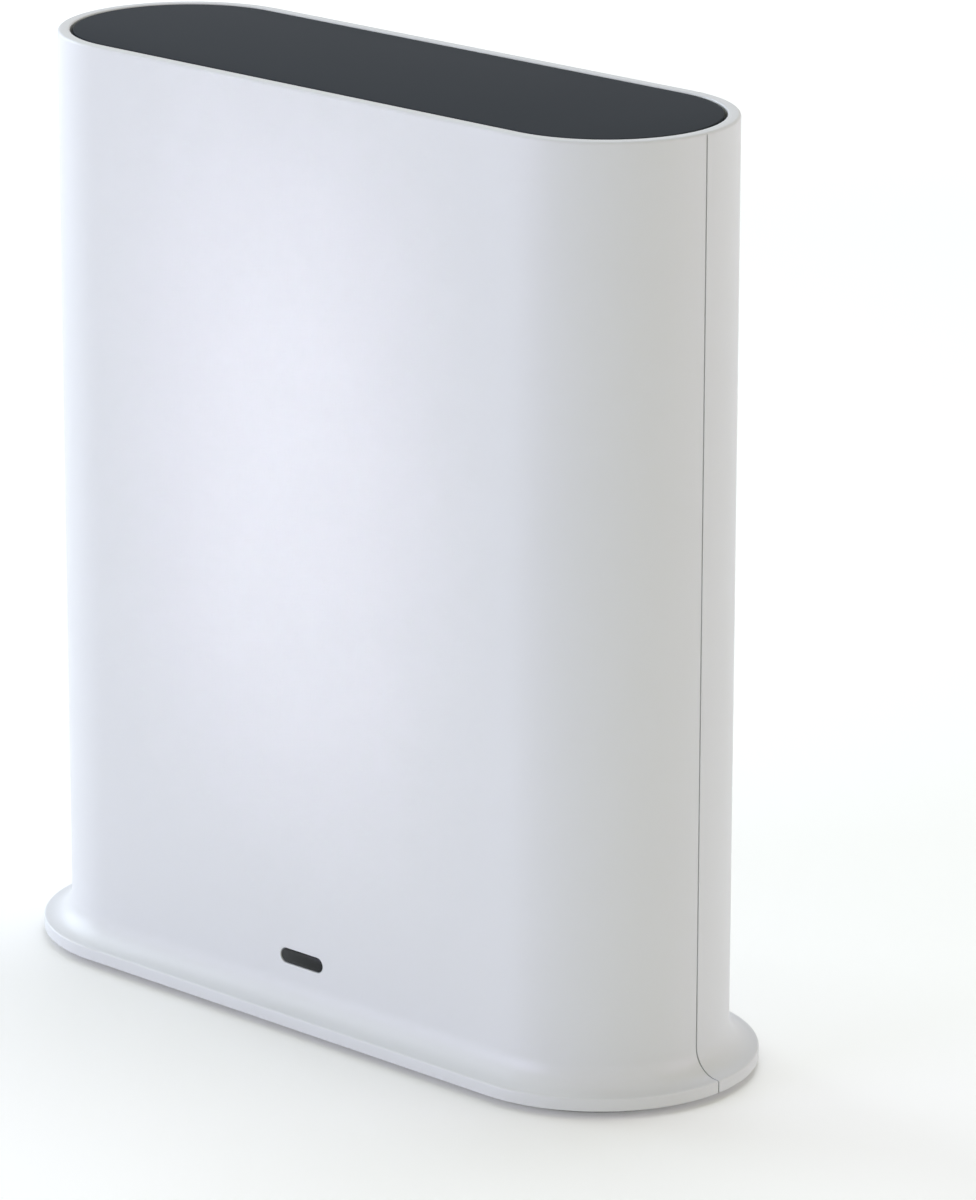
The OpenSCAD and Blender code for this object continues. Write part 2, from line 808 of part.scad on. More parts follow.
front_shell();
rear_shell();
top_cap();
base_plate();
foot_pad();
case_screws();
status_window();
light_pipe();
main_board();
board_screws();
status_led();
processor();
memory_chips();
thermal_pad();
heat_sink();
heat_sink_pins();
radio_shield(-radio_x);  // radio_shield_left
radio_shield(radio_x);  // radio_shield_right
radio_chips();
network_shield();
network_insert();
network_contacts();
network_transformer();
usb_shell();
usb_tongue();
usb_contacts();
power_socket();
power_pin();
capacitors();
power_coils();
sync_button();
push_switch(0, sync_z);  // sync_switch
sync_plunger();
push_switch(reset_x, port_z);  // reset_switch
reset_plunger();
antenna_tray();
tray_screws();
antenna(-1);  // antenna_left
antenna(1);  // antenna_right
antenna_lead(-1);  // antenna_lead_left
antenna_lead(1);  // antenna_lead_right
antenna_plugs();
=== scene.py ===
"""Looks of an upright base station for wireless cameras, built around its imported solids."""

import json
import math
from collections import namedtuple

import bmesh
import bpy
from bpy.props import FloatProperty, FloatVectorProperty, IntProperty, PointerProperty
from mathutils import Matrix, Vector
from mathutils.geometry import tessellate_polygon


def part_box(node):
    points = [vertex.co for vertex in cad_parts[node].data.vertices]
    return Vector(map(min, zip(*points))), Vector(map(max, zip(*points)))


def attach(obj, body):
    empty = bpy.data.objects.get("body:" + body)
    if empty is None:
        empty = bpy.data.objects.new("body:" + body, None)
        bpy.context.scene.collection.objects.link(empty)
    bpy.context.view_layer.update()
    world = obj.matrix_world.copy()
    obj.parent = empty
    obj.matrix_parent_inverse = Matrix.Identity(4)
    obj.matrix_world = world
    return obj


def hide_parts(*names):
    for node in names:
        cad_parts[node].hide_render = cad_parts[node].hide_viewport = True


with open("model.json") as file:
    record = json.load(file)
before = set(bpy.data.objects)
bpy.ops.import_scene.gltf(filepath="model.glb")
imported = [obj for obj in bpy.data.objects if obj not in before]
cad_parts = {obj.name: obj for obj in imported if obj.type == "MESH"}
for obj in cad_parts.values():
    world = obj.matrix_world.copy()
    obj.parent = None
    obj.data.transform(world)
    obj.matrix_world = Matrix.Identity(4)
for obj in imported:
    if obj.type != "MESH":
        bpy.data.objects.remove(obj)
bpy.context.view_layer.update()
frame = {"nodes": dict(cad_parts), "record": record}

bl_info = {
    "name": "Camera Base Station",
    "version": (1, 0, 0),
    "blender": (4, 5, 0),
    "location": "View3D > Sidebar > Station",
    "description": "Builds the case, sockets, buttons and finishes of a camera base station",
    "category": "Object",
}

MM = 0.001
STATION = "station"
SLOT_OF = {part["node"]: part["material_slot"] for part in frame["record"]["subparts"]}

# Ways along Y
FRONT, BACK = -1, 1

# Places read from the solids, in metres
shell_low, shell_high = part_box("front_shell")
cap_low, cap_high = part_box("top_cap")
TOP_Z = shell_high.z
FOOT_Z = shell_low.z
FOOT_R = -shell_low.y
HALF_X = shell_high.x - FOOT_R
END_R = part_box("sync_button")[1].y
PAD_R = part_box("foot_pad")[1].y
PAD_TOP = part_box("foot_pad")[1].z
BOARD_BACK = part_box("main_board")[1].y

# Sizes that no box gives
CAP_THICKNESS = 2 * MM
CAP_SEAT = cap_high.z - CAP_THICKNESS
CAP_SKIRT = 1.2 * MM
CAP_LAP = 1.4 * MM
HAIRLINE = 0.02 * MM
EDGE = 0.2 * MM
SHARP_ANGLE = math.radians(32)

# Screws by node: the way that they point, the turn that takes +Z there, and their sizes
Screw = namedtuple("Screw", "way turn head_radius head_height shank_radius shank_length")
SCREWS = {
    "case_screws": Screw("up", (0, 0, 0), 2.2 * MM, 1 * MM, 1.2 * MM, 6.95 * MM),
    "board_screws": Screw("back", (math.radians(-90), 0, 0), 2 * MM, 1.4 * MM, 1 * MM, 7.55 * MM),
    "tray_screws": Screw("down", (math.radians(180), 0, 0), 2 * MM, 1.4 * MM, 1 * MM, 5 * MM),
}

# Chips by node: how many share its solid, and the width of each
CHIPS = {
    "processor": (1, 18 * MM),
    "memory_chips": (2, 9 * MM),
    "radio_chips": (2, 7 * MM),
    "network_transformer": (1, 16 * MM),
}


def middle(node):
    """Centre of a solid's box."""
    low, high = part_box(node)
    return (low + high) / 2


def size_of(node):
    """Lengths of a solid's box."""
    low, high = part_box(node)
    return high - low


def linear(code):
    """Linear colour of an sRGB hex value."""
    parts = [int(code[i:i + 2], 16) / 255 for i in (0, 2, 4)]
    return tuple(c / 12.92 if c <= 0.04045 else ((c + 0.055) / 1.055) ** 2.4 for c in parts)


def length(name, description, default_mm):
    """A length that a user may change, given in millimetres."""
    return FloatProperty(
        name=name, description=description, default=default_mm * MM, unit="LENGTH", precision=5)


def count(name, description, default, least=1):
    """A number of like parts that a user may change."""
    return IntProperty(name=name, description=description, default=default, min=least)


def angle(name, description, degrees):
    """An angle that a user may change, given in degrees."""
    return FloatProperty(
        name=name, description=description, default=math.radians(degrees), subtype="ANGLE")


def power(name, description, watts):
    """A lamp's power that a user may change, given in watts."""
    return FloatProperty(name=name, description=description, default=watts, unit="POWER")


def colour(name, description, code):
    """A surface colour that a user may change, given as an sRGB hex value."""
    return FloatVectorProperty(
        name=name, description=description, default=linear(code), subtype="COLOR", size=3, min=0, max=1)


class StationCase(bpy.types.PropertyGroup):
    """Sizes of the moulded case."""

    wall: length("Wall", "Thickness of the case walls", 2)
    seam: length("Seam", "Open joint between the half shells", 0.3)
    lip: length("Lip", "Thickness of the lip behind the joint", 0.9)
    lip_reach: length("Lip reach", "Reach of the lip past the joint", 1.8)
    band: length("Band", "Height of the upright edge of the foot", 2)
    band_round: length("Band rounding", "Rounding on the edge of the foot", 0.3)
    rim_round: length("Rim rounding", "Rounding on the outer edge of the rim", 0.5)
    rim_inner_round: length("Inner rim rounding", "Rounding on the inner edge of the rim", 0.3)
    ledge: length("Ledge", "Width of the ledge that carries the cap", 1.6)
    ledge_thickness: length("Ledge thickness", "Thickness of that ledge", 1.5)
    base: length("Base plate", "Thickness of the base plate", 1.8)
    base_overlap: length("Base overlap", "Overlap of the base plate on the shells", 3)
    base_gap: length("Base gap", "Gap round the base plate, and bevel under the foot", 0.1)
    edge_break: length("Edge break", "Bevel round the openings in the back", 0.3)
    window_break: length("Window break", "Bevel round the status window's opening", 0.1)
    socket_gap: length("Socket gap", "Gap round the sockets and the sync button", 0.25)
    socket_corner: length("Socket corners", "Corner radius of the socket openings", 0.6)
    pinhole: length("Pinhole", "Radius of the hole over the reset switch", 0.9)
    vent_count: count("Vents", "Number of vent slots", 8)
    vent_length: length("Vent length", "Length of a vent slot", 52)
    vent_height: length("Vent height", "Height of a vent slot", 1.8)
    vent_pitch: length("Vent pitch", "Distance from one vent slot to the next", 5)
    post_radius: length("Post radius", "Radius of a case screw's post, and width of its rib", 3.2)
    post_bore: length("Post bore", "Radius of the hole in such a post", 1.25)
    post_height: length("Post height", "Height of such a post", 9)
    shelf_width: length("Shelf width", "Width of a shelf under the antenna tray", 9)
    shelf_thickness: length("Shelf thickness", "Thickness of such a shelf", 2.5)
    shelf_inset: length("Shelf inset", "Distance from the mid-plane to such a shelf", 8)
    pillar_radius: length("Pillar radius", "Radius of a pillar behind the board", 3)
    pillar_wall: length("Pillar wall", "Thickness of such a pillar's wall", 1.95)
    guide_wall: length("Guide wall", "Thickness of the guides of the sync button and the window", 1.2)
    key_guide: length("Key guide", "Depth of the sync button's guide", 4.5)
    window_guide: length("Window guide", "Depth of the window's guide", 9)
    window_guide_gap: length("Window guide gap", "Width of that guide's bore past the opening", 0.9)


class StationDetails(bpy.types.PropertyGroup):
    """Sizes of the smaller pieces."""

    cap_round: length("Cap rounding", "Rounding on the edge of the cap", 0.12)
    pad_groove: length("Pad groove", "Width and spacing of the grooves in the rubber pad", 0.9)
    pad_groove_depth: length("Groove depth", "Depth of the grooves in the rubber pad", 0.35)
    pad_border: length("Pad border", "Width of the rubber border", 5)
    pad_recess: length("Pad recess", "Depth of the recess inside the border", 0.5)
    pad_edge: length("Pad edge", "Bevel on the edge of the rubber pad", 0.25)
    window_edge: length("Window edge", "Rounding on the edge of the status window", 0.12)
    window_gap: length("Window gap", "Gap round the status window", 0.1)
    window_flange: length("Window flange", "Width and thickness of the hidden flange", 0.8)
    lamp_cup: length("Lamp cup", "Radius of the cup in the status lamp", 1.1)
    key_radius: length("Key radius", "Radius of the sync button", 5)
    key_dish: length("Key dish", "Depth of the dish in the sync button", 0.4)
    key_edge: length("Key edge", "Rounding on the edge of the sync button", 0.35)
    key_stem: length("Key stem", "Radius of the sync button's stem", 2)
    key_flange: length("Key flange", "Thickness of the flange that holds the sync button in", 1.2)
    sheet: length("Sheet metal", "Thickness of the socket shields", 0.3)
    lead_in: length("Lead-in", "Bevel round the mouth of a socket", 0.35)
    plug_width: length("Plug width", "Width of the network socket's mouth", 11.8)
    plug_height: length("Plug height", "Height of the network socket's mouth", 6.8)
    plug_depth: length("Plug depth", "Depth of the network socket's mouth", 11.5)
    plug_up: length("Plug height offset", "Height of that mouth above the socket's middle", 1.3)
    latch_width: length("Latch width", "Width of the slot for the plug's latch", 6.4)
    latch_height: length("Latch height", "Height of the slot for the plug's latch", 2)
    tongue: length("Tongue", "Thickness of the drive socket's tongue", 2)
    tongue_inset: length("Tongue inset", "Gap from that tongue to the metal shell", 0.6)
    tongue_root: length("Tongue root", "Depth of the block that carries the tongue", 4)
    spring_width: length("Spring width", "Width of a leaf spring in the drive socket", 1.8)
    spring_rise: length("Spring rise", "Height of a leaf spring above the shell's floor", 0.5)
    spring_length: length("Spring length", "Length of such a spring", 5.5)
    spring_inset: length("Spring inset", "Distance from the socket's mouth to such a spring", 1.5)
    spring_side: length("Spring side", "Distance from the socket's middle to such a spring", 3)
    collar_radius: length("Collar radius", "Radius of the power socket's collar", 4.5)
    bore_radius: length("Bore radius", "Radius of the power socket's bore", 3.1)
    bore_depth: length("Bore depth", "Depth of the power socket's bore", 10)
    contact_pitch: length("Contact pitch", "Spacing of the network contacts", 1.02)
    contact_width: length("Contact width", "Width of a network contact", 0.45)
    contact_thickness: length("Contact thickness", "Thickness of a network contact", 0.3)
    contact_count: count("Contacts", "Number of network contacts", 8)
    fin_count: count("Fins", "Number of heat sink fins", 9, least=2)
    fin: length("Fin", "Thickness of a heat sink fin", 1.2)
    sink_base: length("Sink base", "Thickness of the heat sink's plate", 2)
    chip_draft: length("Chip draft", "Slope of a chip's sides, at its top and bottom", 0.12)
    chip_dimple: length("Chip dimple", "Radius of the dimple at a chip's first pin", 0.5)
    chip_mark: length("Chip mark", "Distance from that dimple to the chip's sides", 1.5)
    chip_corner: length("Chip corners", "Corner radius of a chip", 0.25)
    can_radius: length("Can radius", "Radius of a capacitor can", 3.15)
    can_count: count("Cans", "Number of capacitor cans", 3)
    coil_width: length("Coil width", "Width of a power coil", 7)
    coil_ring: length("Coil ring", "Radius of the ring in a power coil", 2.6)
    coil_corner: length("Coil corners", "Corner radius of a power coil", 0.8)
    coil_count: count("Coils", "Number of power coils", 2)
    board_corner: length("Board corners", "Corner radius of the boards", 1.5)
    board_edge: length("Board edge", "Bevel on the edge of the boards", 0.08)
    board_hole: length("Board hole", "Radius of a screw hole in the main board", 1.05)
    pin_head: length("Pin head", "Radius of the head of a heat sink pin", 2.6)
    pin_hole: length("Pin hole", "Radius of the hole for such a pin", 1.45)
    lid_sheet: length("Lid sheet", "Thickness of the lids over the radios", 0.25)
    lid_hole: length("Lid hole", "Radius of a hole in those lids", 0.6)
    lid_pitch: length("Lid pitch", "Distance from one hole to the next", 3.2)


class StationColours(bpy.types.PropertyGroup):
    """Colours of the visible finishes."""

    case: colour("Case", "White moulded case", "E9EBEF")
    cap: colour("Cap", "Charcoal top cap", "3E4247")
    window: colour("Window", "Smoked status window", "15181A")
    rubber: colour("Rubber", "Rubber foot pad", "55575A")
    black: colour("Black plastic", "Black socket plastic", "1B1C1E")
    board: colour("Board", "Solder mask of the boards", "14532F")


class StationStage(bpy.types.PropertyGroup):
    """View and light."""

    azimuth: angle("Azimuth", "Turn of the view from the front", 43.035)
    elevation: angle("Elevation", "Height of the view", 16.904)
    roll: angle("Roll", "Tilt of the view", 0.111)
    distance: length("Distance", "Distance from the camera to its target", 1015.53)
    target_right: length("Target right", "Target to the right of the tower's axis", 15.187)
    target_up: length("Target up", "Height of the target", 65.274)
    focal: FloatProperty(name="Lens", description="Focal length in millimetres", default=194.987)
    back: power("Back", "Softbox above and behind", 3.8)
    front: power("Front", "Cool softbox in front", 7.5)
    side: power("Side", "Softbox on the left", 7.4)
    right: power("Right", "Softbox behind the right end", 3.4)
    pool: power("Pool", "Strip light on the front", 0.0028)
    ground: power("Ground", "Softbox that lights only the floor", 5.85)
    ambient: FloatProperty(name="Ambient", description="Strength of the ambient light", default=0.4)
    lift: FloatProperty(
        name="Floor lift", description="Light added to the floor for the camera", default=0.167)


def add(tree, kind, inputs=None, **settings):
    """Adds a node with its settings; an input is a value or another node's socket."""
    made = tree.nodes.new(kind)
    for name, value in settings.items():
        setattr(made, name, value)
    for name, value in (inputs or {}).items():
        if isinstance(value, bpy.types.NodeSocket):
            tree.links.new(value, made.inputs[name])
        else:
            made.inputs[name].default_value = value
    return made


def start_material(name):
    """Empty node material, its tree and the object's own coordinates."""
    material = bpy.data.materials.new(name)
    material.use_nodes = True
    tree = material.node_tree
    tree.nodes.clear()
    return material, tree, add(tree, "ShaderNodeTexCoord").outputs["Object"]


def end_material(tree, settings):
    """Adds the shader with its settings, and the output."""
    shader = add(tree, "ShaderNodeBsdfPrincipled", settings)
    add(tree, "ShaderNodeOutputMaterial", {"Surface": shader.outputs["BSDF"]})


def shaded(value, factor):
    """A colour made lighter or darker, with full alpha."""
    return (*[min(1, c * factor) for c in value], 1)


def noise(tree, place, size, detail):
    """Cloudy pattern whose features are that many millimetres wide."""
    made = add(tree, "ShaderNodeTexNoise", {"Vector": place, "Scale": 1 / (size * MM), "Detail": detail})
    return made.outputs["Fac"]


def tinted(tree, pattern, base, darker, lighter):
    """Colour that drifts with a pattern between two shades."""
    made = add(tree, "ShaderNodeMix", {
        "Factor": pattern, "A": shaded(base, darker), "B": shaded(base, lighter)}, data_type="RGBA")
    return made.outputs["Result"]


def between(tree, pattern, low, high):
    """Value that drifts with a pattern between two others."""
    made = add(tree, "ShaderNodeMapRange", {"Value": pattern, "To Min": low, "To Max": high})
    return made.outputs["Result"]


def bumped(tree, pattern, strength, depth):
    """Normals of a relief that is that many millimetres deep."""
    made = add(tree, "ShaderNodeBump", {"Height": pattern, "Strength": strength, "Distance": depth * MM})
    return made.outputs["Normal"]


def moulded_plastic(name, base, roughness, ior, grain=0.35, depth=0.006, cloud=28, shine=0.5):
    """Injection-moulded plastic: an even colour, a spark-eroded grain that breaks up reflections, and
    faint clouds in the gloss where the melt cooled at different rates. The grain is drawn coarser than
    the real 0.05 mm, so that it shows."""
    material, tree, place = start_material(name)
    clouds = noise(tree, place, cloud, 3.0)
    grains = noise(tree, place, grain, 2.0)
    end_material(tree, {
        "Base Color": tinted(tree, clouds, base, 0.985, 1.015),
        "Roughness": between(tree, clouds, roughness - 0.03, roughness + 0.03),
        "IOR": ior, "Specular IOR Level": shine, "Normal": bumped(tree, grains, 0.25, depth)})
    return material


def plated_metal(name, code, roughness, line=0.25, stretch=(1, 1, 12)):
    """Rolled or extruded metal under thin plating: fine lines along the rolling direction spread the
    reflections one way, and handling leaves soft patches in the gloss."""
    material, tree, place = start_material(name)
    turned = add(tree, "ShaderNodeMapping", {"Vector": place, "Scale": [1 / s for s in stretch]})
    lines = noise(tree, turned.outputs["Vector"], line, 3.0)
    patches = noise(tree, place, 4, 2.0)
    end_material(tree, {
        "Base Color": tinted(tree, patches, linear(code), 0.9, 1.05), "Metallic": 1.0,
        "Roughness": between(tree, lines, roughness - 0.08, roughness + 0.1),
        "Normal": bumped(tree, lines, 0.2, 0.01)})
    return material


def smoked_polycarbonate(base):
    """Polished polycarbonate dyed almost black: a mirror-like skin over a dark body, with a trace of
    orange peel from the mould."""
    material, tree, place = start_material("smoked_polycarbonate")
    peel = noise(tree, place, 1.2, 1.0)
    end_material(tree, {
        "Base Color": tinted(tree, peel, base, 0.9, 1.1), "Roughness": between(tree, peel, 0.16, 0.24),
        "IOR": 1.585, "Specular IOR Level": 0.3, "Normal": bumped(tree, peel, 0.1, 0.01)})
    return material


def clear_polycarbonate():
    """Clear moulded polycarbonate: water-clear, with slight flow clouds in its polish."""
    material, tree, place = start_material("clear_polycarbonate")
    flow = noise(tree, place, 3, 2.0)
    end_material(tree, {
        "Base Color": (*linear("F2F7FA"), 1), "Roughness": between(tree, flow, 0.04, 0.14),
        "IOR": 1.585, "Transmission Weight": 1.0})
    return material


def silicone_rubber(name, base):
    """Moulded silicone rubber: dull and slightly dusty, with a soft edge of light at grazing angles."""
    material, tree, place = start_material(name)
    dust = noise(tree, place, 6, 5.0)
    pores = noise(tree, place, 0.5, 2.0)
    end_material(tree, {
        "Base Color": tinted(tree, dust, base, 0.85, 1.2), "Roughness": between(tree, dust, 0.68, 0.84),
        "IOR": 1.41, "Sheen Weight": 0.15, "Normal": bumped(tree, pores, 0.4, 0.03)})
    return material


def glass_epoxy_board(base):
    """Glass-epoxy laminate under solder mask: rows of copper tracks show as lighter raised lines
    through the glossy green film."""
    material, tree, place = start_material("glass_epoxy_board")
    upright = add(tree, "ShaderNodeMapping", {"Vector": place, "Rotation": (math.radians(-90), 0, 0)})
    tracks = add(tree, "ShaderNodeTexBrick", {
        "Vector": upright.outputs["Vector"], "Color1": shaded(base, 0.9), "Color2": shaded(base, 1.1),
        "Mortar": shaded(base, 1.9), "Scale": 1.0, "Mortar Size": 0.12 * MM, "Mortar Smooth": 0.3,
        "Brick Width": 7 * MM, "Row Height": 0.9 * MM}, offset=0.37, squash=0.6, squash_frequency=3)
    end_material(tree, {
        "Base Color": tracks.outputs["Color"], "Roughness": 0.32, "IOR": 1.5,
        "Normal": bumped(tree, tracks.outputs["Fac"], 0.5, 0.03)})
    return material


def make_finishes(colours):
    """Every finish on the station, by the record's slot."""
    return {
        "case_white": moulded_plastic("satin_white_abs", colours.case, 0.36, 1.54),
        "cap_grey": moulded_plastic(
            "matt_charcoal_abs", colours.cap, 0.62, 1.5, grain=0.3, depth=0.02, shine=0.02),
        "base_plastic": moulded_plastic("plain_grey_abs", linear("D3D5D7"), 0.5, 1.54),
        "foot_rubber": silicone_rubber("moulded_silicone", colours.rubber),
        "window_smoke": smoked_polycarbonate(colours.window),
        "clear_plastic": clear_polycarbonate(),
        "board_laminate": glass_epoxy_board(colours.board),
        "screw_steel": plated_metal("zinc_plated_steel", "C9CBCF", 0.32, line=0.3),
        "led_body": moulded_plastic("white_led_package", linear("EBE6D2"), 0.4, 1.5, grain=0.2, cloud=1.5),
        "chip_epoxy": moulded_plastic(
            "black_mould_compound", linear("202124"), 0.55, 1.55, grain=0.15, cloud=5),
        "thermal_silicone": silicone_rubber("grey_gap_filler", linear("8E9DB0")),
        "sink_aluminium": plated_metal("extruded_aluminium", "C6C8CB", 0.38, line=0.3),
        "clip_nylon": moulded_plastic("natural_nylon", linear("DDDBD2"), 0.5, 1.53, grain=0.25, cloud=4),
        "tinned_steel": plated_metal("tin_plated_sheet", "BFC1C4", 0.3, line=0.2, stretch=(1, 10, 1)),
        "socket_plastic": moulded_plastic("glass_filled_black", colours.black, 0.5, 1.57, grain=0.2, cloud=6),
        "gold_contact": plated_metal("gold_plated_bronze", "E3BE6C", 0.25, line=0.1, stretch=(1, 8, 1)),
        "can_aluminium": plated_metal("drawn_aluminium", "CDCED0", 0.3, line=0.25, stretch=(1, 8, 1)),
        "lead_jacket": moulded_plastic(
            "fluoropolymer_jacket", linear("232426"), 0.4, 1.4, grain=0.2, cloud=3),
    }


def finish_of(slot):
    """The material for a slot of the record, made with all the others on first use."""
    scene = bpy.context.scene
    if "station_finishes" not in scene:
        made = make_finishes(scene.station_colours)
        scene["station_finishes"] = {name: material.name for name, material in made.items()}
    return bpy.data.materials[scene["station_finishes"][slot]]


def dress(*nodes):
    """Gives solids that keep their own shape the finish of their slot."""
    for node in nodes:
        mesh = frame["nodes"][node].data
        mesh.materials.clear()
        mesh.materials.append(finish_of(SLOT_OF[node]))


def settle(piece, node, body=STATION):
    """Finishes the piece that stands for a solid: the material of the solid's slot, its shading and its body,
    and hides the solid.
    """
    slot = SLOT_OF[node]
    mesh = piece.data
    if not mesh.materials:
        mesh.materials.append(finish_of(slot))
    for face in mesh.polygons:
        face.use_smooth = True
    mesh.set_sharp_from_angle(angle=SHARP_ANGLE)
    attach(piece, body)
    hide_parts(node)


def piece_from(name, bm):
    """Turns a bmesh into an object with outward faces."""
    bmesh.ops.remove_doubles(bm, verts=bm.verts, dist=1e-7)
    bmesh.ops.recalc_face_normals(bm, faces=bm.faces)
    mesh = bpy.data.meshes.new(name)
    bm.to_mesh(mesh)
    bm.free()
    piece = bpy.data.objects.new(name, mesh)
    bpy.context.scene.collection.objects.link(piece)
    return piece


def install(name, bm, node, body=STATION):
    """Turns a closed bmesh into the piece that stands for a solid."""
    settle(piece_from(name, bm), node, body)


def ends(low, high, inset):
    """Two places, set in from the ends of a stretch."""
    return low + inset, high - inset


def turns(start, stop, steps):
    """Evenly spaced angles, from limits in degrees."""
    return [math.radians(start + (stop - start) * i / steps) for i in range(steps + 1)]


def arc(centre, radius, start, stop, steps=10):
    """Points on an arc, with its angles in degrees."""
    x, y = centre
    return [(x + radius * math.cos(t), y + radius * math.sin(t)) for t in turns(start, stop, steps)]


def circle(x, z, radius, steps=28):
    """Round outline that can be grown."""
    def outline(grow):
        return arc((x, z), radius + grow, 0, 360 - 360 / steps, steps - 1)
    return outline


def obround(x, z, half, radius, steps=14):
    """Outline with round ends that can be grown."""
    def outline(grow):
        right = arc((x + half, z), radius + grow, -90, 90, steps)
        left = arc((x - half, z), radius + grow, 90, 270, steps)
        return right + left
    return outline


def rounded_box(x, z, width, height, corner, steps=5):
    """Rectangle with round corners that can be grown."""
    least = 0.02 * MM

    def outline(grow):
        radius = max(corner + grow, least)
        dx = width / 2 + grow - radius
        dz = height / 2 + grow - radius
        points = []
        for turn, (sx, sz) in enumerate(((1, 1), (-1, 1), (-1, -1), (1, -1))):
            points += arc((x + sx * dx, z + sz * dz), radius, 90 * turn, 90 * turn + 90, steps)
        return points
    return outline


def outline_of(node, corner, gap=0):
    """Rounded outline of a solid as seen from behind, with a gap round it."""
    spot, size = middle(node), size_of(node)
    return rounded_box(spot.x, spot.z, size.x + 2 * gap, size.z + 2 * gap, corner)


def bridge(bm, rings, closed=False, capped=False, skipped=()):
    """Joins rings of points, each to the next. A closed row joins its last ring to its first, a capped one
    gets flat faces, and faces may be skipped by the index of their ring and of their point."""
    verts = [[bm.verts.new(point) for point in ring] for ring in rings]
    pairs = zip(verts, verts[1:] + verts[:1] if closed else verts[1:])
    for i, (a, b) in enumerate(pairs):
        for k in range(len(a)):
            if (i, k) not in skipped:
                n = (k + 1) % len(a)
                bm.faces.new((a[k], a[n], b[n], b[k]))
    if capped:
        bm.faces.new(verts[0])
        bm.faces.new(verts[-1])


def stack(bm, outline, rows, closed=False, capped=False):
    """Joins copies of an outline along Y. Each row is how far the outline grows and its place in Y."""
    rings = [[(px, y, pz) for px, pz in outline(grow)] for grow, y in rows]
    bridge(bm, rings, closed, capped)


def rounded_edge(edge, y):
    """Rows that round an outline off where it ends towards +Y."""
    return [(0, y - edge), (-0.3 * edge, y - 0.3 * edge), (-edge, y)]


def panel(bm, y, border, holes=()):
    """Flat face across the Y axis, inside a border and pierced by outlines."""
    lines = [[Vector((px, pz, 0)) for px, pz in line] for line in (border, *holes)]
    verts = [bm.verts.new((p.x, y, p.y)) for line in lines for p in line]
    for triangle in tessellate_polygon(lines):
        bm.faces.new([verts[i] for i in triangle])


def tube(bm, outline, wall, y0, y1, edge):
    """Tube along Y with its outside on the outline and broken edges."""
    stack(bm, outline, [
        (-edge, y0), (0, y0 + edge), (0, y1 - edge), (-edge, y1),
        (-wall + edge, y1), (-wall, y1 - edge), (-wall, y0 + edge), (-wall + edge, y0)], closed=True)


def slab(bm, outline, y0, y1, edge, holes=()):
    """Plate across Y with broken edges, pierced by outlines."""
    stack(bm, outline, [(-edge, y0), (0, y0 + edge), (0, y1 - edge), (-edge, y1)], capped=not holes)
    for hole in holes:
        stack(bm, hole, [(0, y0), (0, y1)])
    if holes:
        for y in (y0, y1):
            panel(bm, y, outline(-edge), [hole(0) for hole in holes])


def block(bm, low, high, edge=EDGE):
    """Block with broken edges between two corners."""
    (x0, y0, z0), (x1, y1, z1) = low, high
    slab(bm, rounded_box((x0 + x1) / 2, (z0 + z1) / 2, x1 - x0, z1 - z0, edge), y0, y1, edge)


def rib(bm, x, width, ys, zs):
    """Block that stands out from a wall, centred on a place along X."""
    block(bm, (x - width / 2, min(ys), min(zs)), (x + width / 2, max(ys), max(zs)))


def upright_tube(bm, centre, outer, bore, z0, z1, steps=28):
    """Tube that stands on end."""
    rows = [(outer, z0), (outer, z1), (bore, z1), (bore, z0)]
    last = 360 - 360 / steps
    rings = [[(px, py, z) for px, py in arc(centre, radius, 0, last, steps - 1)] for radius, z in rows]
    bridge(bm, rings, closed=True)


def stations(start, stop, steps, side):
    """Stations round one end of the case: a spot on the spine and the way out from it."""
    return [(side * HALF_X, 0, math.cos(t), math.sin(t)) for t in turns(start, stop, steps)]


def sweep(bm, section, path, skipped=()):
    """Carries a closed section of distances and heights along stations of the case outline."""
    rings = [[(x + r * dx, y + r * dy, z) for r, z in section] for x, y, dx, dy in path]
    bridge(bm, rings, capped=True, skipped=skipped)


def plate(bm, rows, steps=80):
    """Plate with the case outline, from rows of distance and height, with flat first and last faces."""
    path = stations(-90, 90, steps, 1) + stations(90, 270, steps, -1)
    rings = [[(x + r * dx, y + r * dy, z) for x, y, dx, dy in path] for r, z in rows]
    bridge(bm, rings, capped=True)


def half_path(way, seam, steps=40):
    """Stations round the front or back half, ending at the joint on the mid-plane. Also gives the index of
    the straight stretch."""
    right = [(HALF_X, way * seam / 2, 1, 0)] + stations(0, way * 90, steps, 1)[1:]
    left = stations(way * 90, way * 180, steps, -1)[:-1] + [(-HALF_X, way * seam / 2, -1, 0)]
    return right + left, len(right) - 1


def screw_seats(node):
    """Where the heads of a node's screws seat, a head's radius in from the sides of its box."""
    low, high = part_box(node)
    screw = SCREWS[node]
    xs = ends(low.x, high.x, screw.head_radius)
    if screw.way == "up":
        return [(x, y, low.z + screw.head_height) for x in xs for y in ends(low.y, high.y, screw.head_radius)]
    if screw.way == "back":
        return [(x, low.y + screw.head_height, z) for x in xs for z in ends(low.z, high.z, screw.head_radius)]
    return [(x, middle(node).y, high.z - screw.head_height) for x in xs]


def flare_radius(case):
    """Radius of the hollow curve between the wall and the foot."""
    return FOOT_R - END_R - case.band_round


